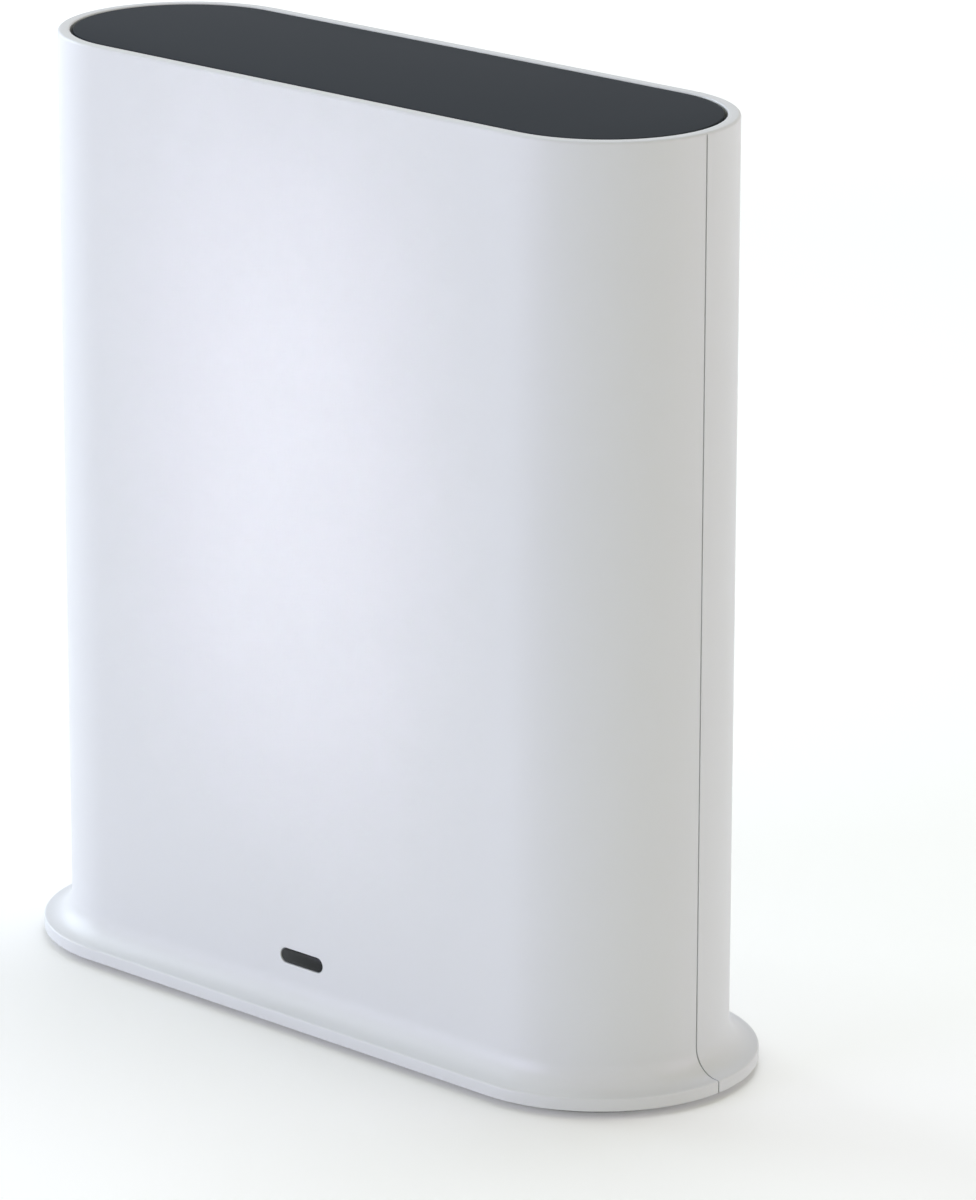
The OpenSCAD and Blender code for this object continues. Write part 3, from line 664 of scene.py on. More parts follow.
def wall_section(case):
    """Section of the case wall, anticlockwise from the base plate's seat, and the indices of the flat
    outer and inner stretches."""
    inner = END_R - case.wall
    flare = flare_radius(case)
    base_z = FOOT_Z + case.base
    band_z = FOOT_Z + case.band
    pocket = inner + case.base_overlap + case.base_gap
    ledge_in = inner - case.ledge
    ledge_low = CAP_SEAT - case.ledge_thickness
    points = [(inner, base_z), (pocket, base_z), (pocket, FOOT_Z), (FOOT_R - case.base_gap, FOOT_Z),
              (FOOT_R, FOOT_Z + case.base_gap)]
    points += arc((FOOT_R - case.band_round, band_z - case.band_round), case.band_round, 0, 90, 5)
    points += arc((END_R + flare, band_z + flare), flare, 270, 180, 18)[1:]
    outer_span = len(points) - 1
    points += arc((END_R - case.rim_round, TOP_Z - case.rim_round), case.rim_round, 0, 90, 8)
    inner_rim = (inner + case.rim_inner_round, TOP_Z - case.rim_inner_round)
    points += arc(inner_rim, case.rim_inner_round, 90, 180, 5)
    points += [(inner, CAP_SEAT), (ledge_in, CAP_SEAT), (ledge_in, ledge_low), (inner, ledge_low)]
    inner_span = len(points) - 1
    return points, outer_span, inner_span


def build_shell(bm, case, way, holes, bevel):
    """Half shell with its openings, each with a bevelled mouth. Across the top of the rim the joint closes
    to a hairline."""
    section, outer_span, inner_span = wall_section(case)
    path, straight = half_path(way, case.seam)
    sweep(bm, section, path, skipped={(straight, outer_span), (straight, inner_span)})
    for vert in bm.verts:
        if vert.co.z > TOP_Z - case.rim_inner_round and abs(vert.co.y) < case.seam:
            vert.co.y = way * HAIRLINE / 2
    inner = END_R - case.wall
    for y, grow, span in ((END_R, bevel, (outer_span, outer_span + 1)), (inner, 0, (0, inner_span))):
        low_z, high_z = (section[k][1] for k in span)
        border = [(-HALF_X, low_z), (HALF_X, low_z), (HALF_X, high_z), (-HALF_X, high_z)]
        panel(bm, way * y, border, [hole(grow) for hole in holes])
    for hole in holes:
        stack(bm, hole, [(bevel, way * END_R), (0, way * (END_R - bevel)), (0, way * inner)])


def shell_inside(bm, case, way):
    """Screw posts and tray shelves moulded inside a half shell."""
    reach = way * (END_R - case.wall / 2)
    base_z = FOOT_Z + case.base
    post_top = base_z + case.post_height
    shelf_y = way * case.shelf_inset
    shelf_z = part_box("antenna_tray")[0].z
    shelf_low = shelf_z - case.shelf_thickness
    for x, y, _ in screw_seats("case_screws"):
        if way * y > 0:
            rib(bm, x, case.post_radius, (y, reach), (base_z, post_top))
            upright_tube(bm, (x, y), case.post_radius, case.post_bore, base_z, post_top)
            rib(bm, x, case.shelf_width, (shelf_y, reach), (shelf_low, shelf_z))


def window_outline(details):
    """Outline of the status window's opening, from its lens."""
    size = size_of("status_window")
    radius = size.z / 2 - details.window_flange
    half = size.x / 2 - details.window_flange - radius
    return obround(0, middle("status_window").z, half, radius)


def front_fittings(bm, case, window):
    """Sleeve behind the status window, and the lips behind the joint."""
    inner = END_R - case.wall
    near, far = case.window_guide_gap, case.window_guide_gap + case.guide_wall
    root, mouth = -inner - case.wall / 2, -inner + case.window_guide
    stack(bm, window, [(near, root), (far, root), (far, mouth), (near, mouth)], closed=True)
    low_z = FOOT_Z + case.band + flare_radius(case)
    clear = 1 * MM
    high_z = CAP_SEAT - case.ledge_thickness - clear
    lip = [(inner, low_z), (inner + case.lip, low_z), (inner + case.lip, high_z), (inner, high_z)]
    held_degrees = 3
    reach_degrees = math.degrees(case.lip_reach / inner)
    sweep(bm, lip, stations(-held_degrees, reach_degrees, 6, 1))
    sweep(bm, lip, stations(180 + held_degrees, 180 - reach_degrees, 6, -1))


def back_openings(case, details):
    """Outlines of the openings in the back: sync button, power, reset pinhole, sockets and vents."""
    key, socket, reset = (middle(node) for node in ("sync_button", "power_socket", "reset_plunger"))
    holes = [
        circle(key.x, key.z, details.key_radius + case.socket_gap),
        circle(socket.x, socket.z, details.collar_radius + case.socket_gap),
        circle(reset.x, reset.z, case.pinhole),
    ]
    for node in ("network_shield", "usb_shell"):
        holes.append(outline_of(node, case.socket_corner, case.socket_gap))
    first = (socket.z + key.z) / 2 - (case.vent_count - 1) * case.vent_pitch / 2
    half = (case.vent_length - case.vent_height) / 2
    for i in range(case.vent_count):
        holes.append(obround(0, first + i * case.vent_pitch, half, case.vent_height / 2))
    return holes


def back_fittings(bm, case):
    """Guide round the sync button, and the pillars behind the board."""
    inner = END_R - case.wall
    reach = inner + case.wall / 2
    key = middle("sync_button")
    flange_radius = size_of("sync_button").x / 2
    guide = circle(key.x, key.z, flange_radius + case.socket_gap + case.guide_wall)
    tube(bm, guide, case.guide_wall, inner - case.key_guide, reach, EDGE)
    for x, _, z in screw_seats("board_screws"):
        tube(bm, circle(x, z, case.pillar_radius), case.pillar_wall, BOARD_BACK, reach, EDGE)


class STATION_OT_shells(bpy.types.Operator):
    """Build the front and rear half shells with their openings"""

    bl_idname = "station.shells"
    bl_label = "Half Shells"

    def execute(self, context):
        case = context.scene.station_case
        details = context.scene.station_details
        window = window_outline(details)
        front = bmesh.new()
        build_shell(front, case, FRONT, [window], case.window_break)
        shell_inside(front, case, FRONT)
        front_fittings(front, case, window)
        install("front_shell_moulding", front, "front_shell")
        rear = bmesh.new()
        build_shell(rear, case, BACK, back_openings(case, details), case.edge_break)
        shell_inside(rear, case, BACK)
        back_fittings(rear, case)
        install("rear_shell_moulding", rear, "rear_shell")
        return {"FINISHED"}


class STATION_OT_cap(bpy.types.Operator):
    """Build the charcoal cap that lies inside the rim"""

    bl_idname = "station.cap"
    bl_label = "Top Cap"

    def execute(self, context):
        radius = cap_high.y
        skirt = radius - CAP_LAP
        skirt_in = skirt - CAP_SKIRT
        edge = context.scene.station_details.cap_round
        rows = [(skirt_in, CAP_SEAT), (skirt_in, cap_low.z), (skirt, cap_low.z), (skirt, CAP_SEAT),
                (radius, CAP_SEAT)]
        rows += arc((radius - edge, cap_high.z - edge), edge, 0, 90, 6)
        bm = bmesh.new()
        plate(bm, rows)
        install("top_cap_moulding", bm, "top_cap")
        return {"FINISHED"}


class STATION_OT_base(bpy.types.Operator):
    """Build the grooved rubber pad and dress the base plate"""

    bl_idname = "station.base"
    bl_label = "Base"

    def execute(self, context):
        details = context.scene.station_details
        edge = details.pad_edge
        groove = details.pad_groove
        depth = details.pad_groove_depth
        border_in = PAD_R - details.pad_border
        rows = [(PAD_R, PAD_TOP), (PAD_R, edge), (PAD_R - edge, 0)]
        spot = PAD_R - 1.5 * groove
        while spot - groove > border_in + groove / 2:
            rows += [(spot, 0), (spot, depth), (spot - groove, depth), (spot - groove, 0)]
            spot -= 2 * groove
        rows += [(border_in, 0), (border_in, details.pad_recess)]
        bm = bmesh.new()
        plate(bm, rows)
        install("foot_pad_moulding", bm, "foot_pad")
        dress("base_plate")
        return {"FINISHED"}


def board_sides(node):
    """Where a part on the main board starts and ends along Y, from the board outwards."""
    low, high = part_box(node)
    return (low.y, high.y) if low.y > middle("main_board").y else (high.y, low.y)


def chip(bm, outline, dimple, seat, top, draft):
    """Moulded package: sides that slope both ways from the mould's parting line, and a dimple in the top."""
    depth_share = 0.15
    deep = top + (seat - top) * depth_share
    stack(bm, outline, [(-draft, seat), (0, (seat + top) / 2), (-draft, top)])
    panel(bm, seat, outline(-draft))
    panel(bm, top, outline(-draft), [dimple(0)])
    stack(bm, dimple, [(0, top), (-draft, deep)])
    panel(bm, deep, dimple(-draft))


class STATION_OT_status_light(bpy.types.Operator):
    """Build the smoked window and the status lamp, and dress the light pipe"""

    bl_idname = "station.status_light"
    bl_label = "Status Light"

    def execute(self, context):
        details = context.scene.station_details
        low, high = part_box("status_window")
        edge, gap, flange = details.window_edge, details.window_gap, details.window_flange
        flange_y = high.y - flange
        bm = bmesh.new()
        stack(bm, window_outline(details), [
            (-gap - edge, low.y), (-gap - edge / 3, low.y + edge / 3), (-gap, low.y + edge),
            (-gap, flange_y), (flange, flange_y), (flange, high.y)], capped=True)
        install("status_window_lens", bm, "status_window")
        seat, top = board_sides("status_led")
        cup = circle(0, middle("status_led").z, details.lamp_cup)
        cup_slope = 0.1 * MM
        bm = bmesh.new()
        chip(bm, outline_of("status_led", details.chip_corner), cup, seat, top, cup_slope)
        install("status_led_package", bm, "status_led")
        dress("light_pipe")
        return {"FINISHED"}


def plug_mouth(x, roof, details):
    """Outline of the network socket's mouth: a box for the plug over a slot for its latch."""
    half, latch = details.plug_width / 2, details.latch_width / 2
    ledge = roof - details.plug_height
    low = ledge - details.latch_height
    right = [(latch, low, -1), (latch, ledge, -1), (half, ledge, -1), (half, roof, 1)]

    def outline(grow):
        points = [(x + dx + grow, z + up * grow) for dx, z, up in right]
        return points + [(x - dx - grow, z + up * grow) for dx, z, up in reversed(right)]
    return outline


def network_insert(bm, node, details):
    """Plastic block in the network socket, with a bevelled mouth."""
    low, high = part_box(node)
    spot = middle(node)
    corner = 0.3 * MM
    outside = outline_of(node, corner)
    mouth = plug_mouth(spot.x, spot.z + details.plug_up + details.plug_height / 2, details)
    bevel = details.lead_in
    end = high.y - details.plug_depth
    stack(bm, outside, [(0, low.y), (0, high.y - EDGE), (-EDGE, high.y)])
    panel(bm, low.y, outside(0))
    panel(bm, high.y, outside(-EDGE), [mouth(bevel)])
    stack(bm, mouth, [(bevel, high.y), (0, high.y - bevel), (0, end)])
    panel(bm, end, mouth(0))


def drive_tongue(bm, node, details):
    """Tongue of the drive socket on the block at its back."""
    low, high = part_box(node)
    root = low.y + details.tongue_root
    inset = details.tongue_inset
    roof = high.z - inset
    sunk, edge = 1 * MM, 0.3 * MM
    block(bm, low, (high.x, root, high.z))
    block(bm, (low.x + inset, root - sunk, roof - details.tongue), (high.x - inset, high.y, roof), edge)


def leaf_spring(bm, x, floor, mouth, details):
    """Bent spring stamped in the floor of the drive socket's shell."""
    half, thin, steps = details.spring_width / 2, 0.2 * MM, 10
    rings = []
    for t in (i / steps for i in range(steps + 1)):
        y = mouth - details.spring_inset - details.spring_length * t
        z = floor + details.spring_rise * math.sin(math.pi * t)
        rings.append([(x - half, y, z - thin), (x + half, y, z - thin), (x + half, y, z), (x - half, y, z)])
    bridge(bm, rings, capped=True)


def power_socket(bm, node, details, shoulder):
    """Square body of the power socket with a round collar and a bevelled bore."""
    low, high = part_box(node)
    spot = middle(node)
    corner, edge = 0.6 * MM, 0.3 * MM
    outside = outline_of(node, corner)
    collar = circle(spot.x, spot.z, details.collar_radius, 48)
    bore = details.bore_radius - details.collar_radius
    bevel = details.lead_in
    end = high.y - details.bore_depth
    stack(bm, outside, [(0, low.y), (0, shoulder - edge), (-edge, shoulder)])
    panel(bm, low.y, outside(0))
    panel(bm, shoulder, outside(-edge), [collar(0)])
    stack(bm, collar, [
        (0, shoulder), *rounded_edge(edge, high.y),
        (bore + bevel, high.y), (bore, high.y - bevel), (bore, end)])
    panel(bm, end, collar(bore))


class STATION_OT_sockets(bpy.types.Operator):
    """Build the network, drive and power sockets"""

    bl_idname = "station.sockets"
    bl_label = "Sockets"

    def execute(self, context):
        case = context.scene.station_case
        details = context.scene.station_details
        corner = 0.5 * MM
        for node in ("network_shield", "usb_shell"):
            low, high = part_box(node)
            bm = bmesh.new()
            tube(bm, outline_of(node, corner), details.sheet, low.y, high.y, EDGE / 2)
            if node == "usb_shell":
                for x in (middle(node).x - details.spring_side, middle(node).x + details.spring_side):
                    leaf_spring(bm, x, low.z + details.sheet, high.y, details)
            install(node + "_sheet", bm, node)
        for node, build in (("network_insert", network_insert), ("usb_tongue", drive_tongue)):
            bm = bmesh.new()
            build(bm, node, details)
            install(node + "_moulding", bm, node)
        bm = bmesh.new()
        power_socket(bm, "power_socket", details, END_R - case.wall - case.socket_gap)
        install("power_socket_moulding", bm, "power_socket")
        dress("usb_contacts", "power_pin")
        return {"FINISHED"}


class STATION_OT_buttons(bpy.types.Operator):
    """Build the sync button and dress the push switches"""

    bl_idname = "station.buttons"
    bl_label = "Buttons"

    def execute(self, context):
        case = context.scene.station_case
        details = context.scene.station_details
        low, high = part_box("sync_button")
        spot = middle("sync_button")
        radius, edge = details.key_radius, details.key_edge
        flange = size_of("sync_button").x / 2 - radius
        stem = details.key_stem - radius
        flange_top = END_R - case.wall - case.socket_gap
        flange_low = flange_top - details.key_flange
        rows = [
            (stem, low.y), (stem, flange_low), (flange, flange_low), (flange, flange_top), (0, flange_top),
            *rounded_edge(edge, high.y)]
        for way_in in (0.15, 0.4, 0.7, 0.95):
            dip = details.key_dish * (1 - (1 - way_in) ** 2)
            rows.append((-edge - (radius - edge) * way_in, high.y - dip))
        bm = bmesh.new()
        stack(bm, circle(spot.x, spot.z, radius), rows, capped=True)
        install("sync_button_key", bm, "sync_button", body="sync_key")
        dress("sync_switch", "sync_plunger", "reset_switch", "reset_plunger")
        return {"FINISHED"}


def grown(name, tree, points, values):
    """Runs a node tree on a set of points and keeps the result as a plain mesh."""
    mesh = bpy.data.meshes.new(name)
    mesh.from_pydata([tuple(p) for p in points], [], [])
    piece = bpy.data.objects.new(name, mesh)
    modifier = piece.modifiers.new("Growth", "NODES")
    modifier.node_group = tree
    sockets = {item.name: item.identifier for item in tree.interface.items_tree if item.in_out == "INPUT"}
    for label, value in values.items():
        modifier[sockets[label]] = value
    bpy.context.scene.collection.objects.link(piece)
    bpy.context.view_layer.update()
    result = bpy.data.meshes.new_from_object(piece.evaluated_get(bpy.context.evaluated_depsgraph_get()))
    piece.modifiers.clear()
    piece.data = result
    bpy.data.meshes.remove(mesh)
    result.name = name
    return piece


def start_tree(name, **inputs):
    """Empty geometry tree with a point input, and named sizes by their kind of socket."""
    tree = bpy.data.node_groups.new(name, "GeometryNodeTree")
    tree.interface.new_socket("Points", in_out="INPUT", socket_type="NodeSocketGeometry")
    for kind, labels in inputs.items():
        for label in labels:
            tree.interface.new_socket(label, in_out="INPUT", socket_type="NodeSocket" + kind)
    tree.interface.new_socket("Mesh", in_out="OUTPUT", socket_type="NodeSocketGeometry")
    return tree, add(tree, "NodeGroupInput").outputs


def end_tree(tree, instances, material):
    """Realises the instances and gives them their finish."""
    real = add(tree, "GeometryNodeRealizeInstances", {"Geometry": instances})
    painted = add(tree, "GeometryNodeSetMaterial", {
        "Geometry": real.outputs["Geometry"], "Material": material})
    add(tree, "NodeGroupOutput", {"Mesh": painted.outputs["Geometry"]})


def times(tree, size, factor):
    """A size multiplied by a number."""
    return add(tree, "ShaderNodeMath", {0: size, 1: factor}, operation="MULTIPLY").outputs[0]


def along(tree, axis, size):
    """A way along one axis."""
    return add(tree, "ShaderNodeCombineXYZ", {axis: size}).outputs[0]


def moved(tree, mesh, way):
    """A mesh moved by a way."""
    made = add(tree, "GeometryNodeTransform", {"Geometry": mesh, "Translation": way})
    return made.outputs["Geometry"]


def brick(tree, size, place):
    """A block of a size, moved to its place."""
    made = add(tree, "GeometryNodeMeshCube", {"Size": size})
    return moved(tree, made.outputs["Mesh"], place)


def placed(tree, points, mesh):
    """A mesh set on every point."""
    made = add(tree, "GeometryNodeInstanceOnPoints", {"Points": points, "Instance": mesh})
    return made.outputs["Instances"]


def joined(tree, *parts):
    """Several shapes as one."""
    whole = add(tree, "GeometryNodeJoinGeometry")
    for part in parts:
        tree.links.new(part, whole.inputs["Geometry"])
    return whole.outputs["Geometry"]


def cut(tree, mesh, tool):
    """A mesh with another cut out of it."""
    made = add(tree, "GeometryNodeMeshBoolean", {"Mesh 1": mesh, "Mesh 2": tool}, operation="DIFFERENCE")
    return made.outputs["Mesh"]


def screw_tree(material, turn):
    """Pan-head screws with a hexagon recess, one at each point, pointing along a turned Z."""
    tree, sizes = start_tree("pan_head_screws", Float=(
        "Shank Radius", "Shank Length", "Head Radius", "Head Height", "Recess Radius", "Recess Depth"))
    crown_share = 0.82
    shank = add(tree, "GeometryNodeMeshCylinder", {
        "Vertices": 24, "Radius": sizes["Shank Radius"], "Depth": sizes["Shank Length"]}).outputs["Mesh"]
    shank = moved(tree, shank, along(tree, "Z", times(tree, sizes["Shank Length"], 0.5)))
    head = add(tree, "GeometryNodeMeshCone", {
        "Vertices": 32, "Radius Top": sizes["Head Radius"], "Depth": sizes["Head Height"],
        "Radius Bottom": times(tree, sizes["Head Radius"], crown_share)}).outputs["Mesh"]
    recess = add(tree, "GeometryNodeMeshCylinder", {
        "Vertices": 6, "Radius": sizes["Recess Radius"],
        "Depth": times(tree, sizes["Recess Depth"], 2.0)}).outputs["Mesh"]
    head = moved(tree, cut(tree, head, recess), along(tree, "Z", times(tree, sizes["Head Height"], -1.0)))
    turned = add(tree, "GeometryNodeTransform", {"Geometry": joined(tree, shank, head), "Rotation": turn})
    end_tree(tree, placed(tree, sizes["Points"], turned.outputs["Geometry"]), material)
    return tree


class STATION_OT_screws(bpy.types.Operator):
    """Build the screws of the case, the board and the antenna tray"""

    bl_idname = "station.screws"
    bl_label = "Screws"

    def execute(self, context):
        steel = finish_of("screw_steel")
        recess_radius, recess_depth = 1.1 * MM, 0.6 * MM
        for node, screw in SCREWS.items():
            piece = grown(node + "_steel", screw_tree(steel, screw.turn), screw_seats(node), {
                "Shank Radius": screw.shank_radius, "Shank Length": screw.shank_length,
                "Head Radius": screw.head_radius, "Head Height": screw.head_height,
                "Recess Radius": recess_radius, "Recess Depth": recess_depth})
            settle(piece, node)
        return {"FINISHED"}


def contact_tree(material):
    """Row of sprung contacts, each a bent strip swept along a curve."""
    tree, sizes = start_tree(
        "sprung_contacts", Int=("Count",), Float=("Pitch", "Width", "Thickness"),
        Vector=("Root", "Bend", "Tip"))
    line = add(tree, "GeometryNodeCurveQuadraticBezier", {
        "Resolution": 14, "Start": sizes["Root"], "Middle": sizes["Bend"], "End": sizes["Tip"]})
    strip = add(tree, "GeometryNodeCurvePrimitiveQuadrilateral", {
        "Width": sizes["Thickness"], "Height": sizes["Width"]})
    finger = add(tree, "GeometryNodeCurveToMesh", {
        "Curve": line.outputs["Curve"], "Profile Curve": strip.outputs["Curve"], "Fill Caps": True})
    row = add(tree, "GeometryNodeMeshLine", {
        "Count": sizes["Count"], "Offset": along(tree, "X", sizes["Pitch"])})
    end_tree(tree, placed(tree, row.outputs["Mesh"], finger.outputs["Mesh"]), material)
    return tree


class STATION_OT_contacts(bpy.types.Operator):
    """Build the sprung contacts of the network socket"""

    bl_idname = "station.contacts"
    bl_label = "Network Contacts"

    def execute(self, context):
        details = context.scene.station_details
        low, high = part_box("network_contacts")
        thin = details.contact_thickness
        x = low.x + details.contact_width / 2
        piece = grown("network_contact_springs", contact_tree(finish_of("gold_contact")), [(0, 0, 0)], {
            "Count": details.contact_count, "Pitch": details.contact_pitch, "Width": details.contact_width,
            "Thickness": thin, "Root": (x, high.y, high.z - thin / 2),
            "Bend": (x, (low.y + high.y) / 2, high.z - thin / 2), "Tip": (x, low.y, low.z + thin / 2)})
        settle(piece, "network_contacts")
        return {"FINISHED"}


def sink_tree(material):
    """Heat sink: a base plate with a row of upright fins."""
    tree, sizes = start_tree(
        "finned_sink", Int=("Fins",), Float=("Pitch",),
        Vector=("Fin Size", "First Fin", "Base Size", "Base Place"))
    fin = add(tree, "GeometryNodeMeshCube", {"Size": sizes["Fin Size"]})
    row = add(tree, "GeometryNodeMeshLine", {
        "Count": sizes["Fins"], "Start Location": sizes["First Fin"],
        "Offset": along(tree, "X", sizes["Pitch"])})
    fins = placed(tree, row.outputs["Mesh"], fin.outputs["Mesh"])
    base = brick(tree, sizes["Base Size"], sizes["Base Place"])
    end_tree(tree, joined(tree, fins, base), material)
    return tree


class STATION_OT_heat_sink(bpy.types.Operator):
    """Build the finned heat sink and its thermal pad, and dress its pins"""

    bl_idname = "station.heat_sink"
    bl_label = "Heat Sink"

    def execute(self, context):
        details = context.scene.station_details
        low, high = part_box("heat_sink")
        spot, size = middle("heat_sink"), size_of("heat_sink")
        base, fin = details.sink_base, details.fin
        # The fins fill a square field between the ears that take the pins
        field = size.z
        sunk = 0.2 * MM
        fin_height = size.y - base + sunk
        piece = grown("heat_sink_extrusion", sink_tree(finish_of("sink_aluminium")), [(0, 0, 0)], {
            "Fins": details.fin_count, "Pitch": (field - fin) / (details.fin_count - 1),
            "Fin Size": (fin, fin_height, field),
            "First Fin": (fin / 2 - field / 2, low.y + fin_height / 2, spot.z),
            "Base Size": (size.x, base, size.z), "Base Place": (0, high.y - base / 2, spot.z)})
        settle(piece, "heat_sink")
        low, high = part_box("thermal_pad")
        corner, edge = 0.5 * MM, 0.15 * MM
        bm = bmesh.new()
        slab(bm, outline_of("thermal_pad", corner), low.y, high.y, edge)
        install("thermal_pad_sheet", bm, "thermal_pad")
        dress("heat_sink_pins")
        return {"FINISHED"}


class STATION_OT_boards(bpy.types.Operator):
    """Build the main board and the antenna boards"""

    bl_idname = "station.boards"
    bl_label = "Boards"

    def execute(self, context):
        details = context.scene.station_details
        holes = [circle(x, z, details.board_hole) for x, _, z in screw_seats("board_screws")]
        low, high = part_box("heat_sink_pins")
        for x in ends(low.x, high.x, details.pin_head):
            holes.append(circle(x, middle("heat_sink_pins").z, details.pin_hole))
        for node, pierced in (("main_board", holes), ("antenna_left", ()), ("antenna_right", ())):
            low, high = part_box(node)
            bm = bmesh.new()
            slab(bm, outline_of(node, details.board_corner), low.y, high.y, details.board_edge, pierced)
            install(node + "_laminate", bm, node)
        return {"FINISHED"}


def in_row(node, number, width):
    """Centres along X of like parts that share a solid's box."""
    low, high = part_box(node)
    pitch = (high.x - low.x - width) / max(number - 1, 1)
    return [low.x + width / 2 + i * pitch for i in range(number)]


def can(bm, outline, seat, top):
    """Drawn capacitor can with a rolled groove near its foot and a dished top."""
    foot, shoulder, rim = 0.2 * MM, 0.5 * MM, 0.8 * MM
    groove, groove_half, groove_y = 0.35 * MM, 0.4 * MM, seat + 1.3 * MM
    dish, dish_slope = 0.12 * MM, 0.15 * MM
    stack(bm, outline, [
        (-foot, seat), (0, seat + foot),
        (0, groove_y - groove_half), (-groove, groove_y), (0, groove_y + groove_half),
        *rounded_edge(shoulder, top), (-rim, top), (-rim - dish_slope, top - dish)], capped=True)


def coil(bm, outline, ring, seat, top):
    """Moulded coil: a block with a ring pressed into its top."""
    edge, depth, slope, groove = 0.4 * MM, 0.25 * MM, 0.1 * MM, 0.6 * MM
    stack(bm, outline, [(0, seat), (0, top - edge), (-edge, top)])
    panel(bm, seat, outline(0))
    panel(bm, top, outline(-edge), [ring(0)])
    stack(bm, ring, [(0, top), (-slope, top - depth), (-groove, top - depth), (-groove - slope, top)])
    panel(bm, top, ring(-groove - slope))


def lid_tree(material):
    """Sheet-metal lid, open towards the board, with a round hole in its top at each point."""
    tree, sizes = start_tree(
        "perforated_lid", Vector=("Outside", "Outside Place", "Inside", "Inside Place"),
        Float=("Hole Radius", "Hole Depth"))
    outside = brick(tree, sizes["Outside"], sizes["Outside Place"])
    inside = brick(tree, sizes["Inside"], sizes["Inside Place"])
    drill = add(tree, "GeometryNodeMeshCylinder", {
        "Vertices": 14, "Radius": sizes["Hole Radius"], "Depth": sizes["Hole Depth"]})
    drill = add(tree, "GeometryNodeTransform", {
        "Geometry": drill.outputs["Mesh"], "Rotation": (math.radians(90), 0, 0)})
    drills = add(tree, "GeometryNodeRealizeInstances", {
        "Geometry": placed(tree, sizes["Points"], drill.outputs["Geometry"])})
    pierced = cut(tree, cut(tree, outside, inside), drills.outputs["Geometry"])
    end_tree(tree, pierced, material)
    return tree


def radio_lid(node, tree, details):
    """Lid over one radio, with its field of holes."""
    top_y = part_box(node)[0].y
    spot, size = middle(node), size_of(node)
    sheet, pitch = details.lid_sheet, details.lid_pitch
    columns = int((size.x - pitch) / pitch)
    rows = int((size.z - pitch) / pitch)
    holes = [(spot.x + (i - (columns - 1) / 2) * pitch, top_y, spot.z + (k - (rows - 1) / 2) * pitch)
             for i in range(columns) for k in range(rows)]
    return grown(node + "_lid", tree, holes, {
        "Outside": size, "Outside Place": spot,
        "Inside": (size.x - 2 * sheet, size.y, size.z - 2 * sheet),
        "Inside Place": (spot.x, spot.y + sheet, spot.z),
        "Hole Radius": details.lid_hole, "Hole Depth": 4 * sheet})


class STATION_OT_electronics(bpy.types.Operator):
    """Build the parts on the main board and dress the antenna tray, leads and plugs"""

    bl_idname = "station.electronics"
    bl_label = "Electronics"

    def execute(self, context):
        details = context.scene.station_details
        for node, (number, width) in CHIPS.items():
            seat, top = board_sides(node)
            mark_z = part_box(node)[1].z - details.chip_mark
            bm = bmesh.new()
            for x in in_row(node, number, width):
                body = rounded_box(x, middle(node).z, width, size_of(node).z, details.chip_corner)
                dimple = circle(x - width / 2 + details.chip_mark, mark_z, details.chip_dimple)
                chip(bm, body, dimple, seat, top, details.chip_draft)
            install(node + "_package", bm, node)

        seat, top = board_sides("capacitors")
        z = middle("capacitors").z
        bm = bmesh.new()
        for x in in_row("capacitors", details.can_count, 2 * details.can_radius):
            can(bm, circle(x, z, details.can_radius), seat, top)
        install("capacitor_cans", bm, "capacitors")

        seat, top = board_sides("power_coils")
        z = middle("power_coils").z
        width = details.coil_width
        bm = bmesh.new()
        for x in in_row("power_coils", details.coil_count, width):
            body = rounded_box(x, z, width, width, details.coil_corner)
            coil(bm, body, circle(x, z, details.coil_ring), seat, top)
        install("power_coil_blocks", bm, "power_coils")

        lids = lid_tree(finish_of("tinned_steel"))
        for node in ("radio_shield_left", "radio_shield_right"):
            settle(radio_lid(node, lids, details), node)
        dress("antenna_tray", "antenna_lead_left", "antenna_lead_right", "antenna_plugs")
        return {"FINISHED"}


def seen(tree):
    """One for rays that show a surface, straight or in a reflection, and nothing for rays that light one."""
    path = add(tree, "ShaderNodeLightPath").outputs
    rays = path["Is Camera Ray"]
    for kind in ("Is Glossy Ray", "Is Transmission Ray"):
        rays = add(tree, "ShaderNodeMath", {0: rays, 1: path[kind]}, operation="MAXIMUM").outputs[0]
    return rays


def floor_material(lift):
    """Pale studio floor that keeps the object's shadow and turns white for the camera further out."""
    # Distances from the station, in metres, between which the floor turns white
    near, far = 0.5, 1.3
    material, tree, place = start_material("studio_floor")
    away = add(tree, "ShaderNodeVectorMath", {0: place}, operation="LENGTH")
    glow = add(tree, "ShaderNodeMapRange", {
        "Value": away.outputs["Value"], "From Min": near, "From Max": far, "To Min": lift, "To Max": 1.0},
        interpolation_type="SMOOTHSTEP")
    shown = add(tree, "ShaderNodeMath", {0: seen(tree), 1: glow.outputs["Result"]}, operation="MULTIPLY")
    end_material(tree, {
        "Base Color": (0.82, 0.82, 0.82, 1), "Roughness": 0.9, "Emission Color": (1, 1, 1, 1),
        "Emission Strength": shown.outputs[0]})
    return material


def studio_world(ambient):
    """Even ambient light, seen as white by the camera and in reflections."""
    world = bpy.data.worlds.new("studio_world")
    world.use_nodes = True
    tree = world.node_tree
    tree.nodes.clear()
    rays = seen(tree)
    warmth = add(tree, "ShaderNodeMix", {
        "Factor": rays, "A": (0.99, 1, 0.7, 1), "B": (1, 1, 1, 1)}, data_type="RGBA")
    sky = add(tree, "ShaderNodeBackground", {
        "Color": warmth.outputs["Result"], "Strength": between(tree, rays, ambient, 1.0)})
    add(tree, "ShaderNodeOutputWorld", {"Surface": sky.outputs["Background"]})
    return world


